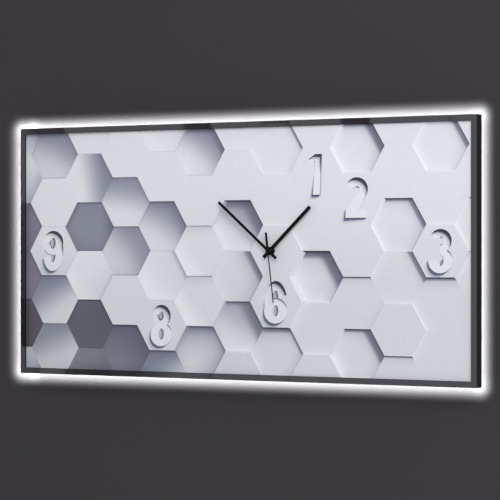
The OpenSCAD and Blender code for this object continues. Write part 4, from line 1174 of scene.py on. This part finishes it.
# Coil: turns of wire between the bobbin's cheeks
BORE_R, CHEEK_T, WIRE_R, TURNS, EASE = 0.0016, 0.0008, 0.0032, 44, 0.0001
low, high = span("motor_coil")
mid, cheek = (low + high) / 2, (high[2] - low[2]) / 2
length = high[0] - low[0]
room = length - 2 * CHEEK_T
flange = [(0.0, BORE_R), (0.0, cheek - EASE), (EASE, cheek), (CHEEK_T - EASE, cheek),
          (CHEEK_T, cheek - EASE)]
profile = list(flange)
for i in range(TURNS):
    s = CHEEK_T + room * i / TURNS
    profile += [(s, WIRE_R - EASE), (s + room / TURNS / 2, WIRE_R)]
profile += [(length - CHEEK_T, WIRE_R - EASE)] + [(length - s, q) for s, q in reversed(flange)]
build = Build()
build.lathe(profile, np.array([low[0], mid[1], mid[2]]), X, Y, [0] * 5 + [1] * 2 * TURNS + [0] * 5, 40)
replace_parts(build.finish("motor_coil_wound", [BOBBIN, COPPER]), "motor_coil")


# Stage: a plain wall behind the clock, a pale floor, soft light and the lamps behind the frame
def stage_plane(name, corners, material):
    mesh = bpy.data.meshes.new(name)
    mesh.from_pydata(corners, [], [(0, 1, 2, 3)])
    mesh.materials.append(material)
    obj = new_object(name, mesh)
    obj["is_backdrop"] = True
    return obj


def stage_material(name, rgb, one_sided=False):
    """A plain matt surface; a one-sided one is seen from its front, and by the camera only."""
    m, tree, shader, out = new_material(name)
    stops = [(0.3, linear(rgb) * 0.98), (0.7, linear(rgb) * 1.02)]
    feed(shader, {"Base Color": ramp(tree, noise(tree, 3.0, 2.0), stops), "Roughness": 0.9,
                  "Specular IOR Level": 0.1})
    if one_sided:
        clear = add_node(tree, "BsdfTransparent").outputs["BSDF"]
        behind = add_node(tree, "NewGeometry").outputs["Backfacing"]
        seen = add_node(tree, "LightPath").outputs["Is Camera Ray"]
        front = add_node(tree, "MixShader", {"Fac": behind, 1: shader.outputs["BSDF"], 2: clear})
        shown = add_node(tree, "MixShader", {"Fac": seen, 1: clear, 2: front.outputs["Shader"]})
        feed(out, {"Surface": shown.outputs["Shader"]})
    return m


FLOOR_Z = FACE_Z - HALF_H - 1.45
WALL_Y = cad_high.y + 0.0006
WALL_HALF, WALL_TOP, FLOOR_HALF = 4, 3, 6
wall = stage_plane("wall", [(-WALL_HALF, WALL_Y, FLOOR_Z), (WALL_HALF, WALL_Y, FLOOR_Z),
                            (WALL_HALF, WALL_Y, WALL_TOP), (-WALL_HALF, WALL_Y, WALL_TOP)],
                   stage_material("wall_grey", (62, 60, 63), True))
stage_plane("floor", [(x, y, FLOOR_Z) for x, y in rectangle(FLOOR_HALF, FLOOR_HALF)],
            stage_material("floor_pale", (222, 221, 218)))


def area_light(name, at, way, size, size_y, power, spread_deg=180.0, tint=(1, 1, 1)):
    data = bpy.data.lights.new(name, "AREA")
    data.shape = "RECTANGLE"
    data.size, data.size_y = size, size_y
    data.energy = power
    data.color = tint
    data.spread = math.radians(spread_deg)
    obj = new_object(name, data)
    z = -Vector(way).normalized()
    x = Vector((0, 0, 1)).cross(z).normalized()
    obj.matrix_world = Matrix.Translation(at) @ Matrix((x, z.cross(x), z)).transposed().to_4x4()
    obj.visible_camera = False
    return obj


centre = Vector((0, FRAME_FRONT, FACE_Z))
for name, at, size, size_y, power in (("key", Vector((1.3, -1.9, 0.75)), 1.3, 1.3, 30.0),
                                      ("back_fill", Vector((-0.5, 2.2, 0.9)), 2.0, 1.4, 28.0)):
    area_light(name, at, centre - at, size, size_y, power)

# The lamps' light on the wall, in strips along the frame's outline as the camera sees it against the wall;
# these strips light the wall alone
lit = bpy.data.collections.new("lit_by_glow")
lit.objects.link(wall)
GLOW_Y, FLUX, WIDE = WALL_Y - 0.012, 185.0, 0.005
GLOW_TINT = (0.97, 1.0, 0.963)
SPREAD, SPREAD_LEFT = 111.0, 124.0
left_x, right_x, top_z = -HALF_W - 0.0235, HALF_W - 0.005, HALF_H + 0.0042
for name, x0, x1, z0, z1, spread_deg in (
    ("glow_top", left_x, right_x, top_z - WIDE, top_z, SPREAD),
    ("glow_bottom", left_x, right_x, -top_z, WIDE - top_z, SPREAD),
    ("glow_right", right_x - WIDE, right_x, -top_z, top_z, SPREAD),
    ("glow_left", left_x, left_x + WIDE, -top_z, top_z, SPREAD_LEFT),
    ("glow_behind_left", -HALF_W - 0.007, -HALF_W + 0.003, -top_z, top_z, SPREAD),
):
    middle = Vector(((x0 + x1) / 2, GLOW_Y, FACE_Z + (z0 + z1) / 2))
    power = FLUX * (x1 - x0) * (z1 - z0)
    strip = area_light(name, middle, (0, 1, 0), x1 - x0, z1 - z0, power, spread_deg, GLOW_TINT)
    strip.light_linking.receiver_collection = lit

world = bpy.data.worlds.new("studio")
world.use_nodes = True
scene.world = world
feed(world.node_tree.nodes["Background"], {"Color": (1, 1, 1, 1), "Strength": 0.55})
scene.view_settings.view_transform = "Standard"

# The camera stands level, turned to the left, at this place from the middle of the frame's front
VIEW_RIGHT, VIEW_OUT, VIEW_UP, VIEW_TURN = 1.1334, 2.1013, 0.0012, 27.93
camera_data = bpy.data.cameras.new("camera")
camera_data.lens = 148.0
camera_data.sensor_width = 36.0
camera = new_object("camera", camera_data)
camera.location = (VIEW_RIGHT, FRAME_FRONT - VIEW_OUT, FACE_Z + VIEW_UP)
camera.rotation_euler = (math.pi / 2, 0, math.radians(VIEW_TURN))
scene.camera = camera

low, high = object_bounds()
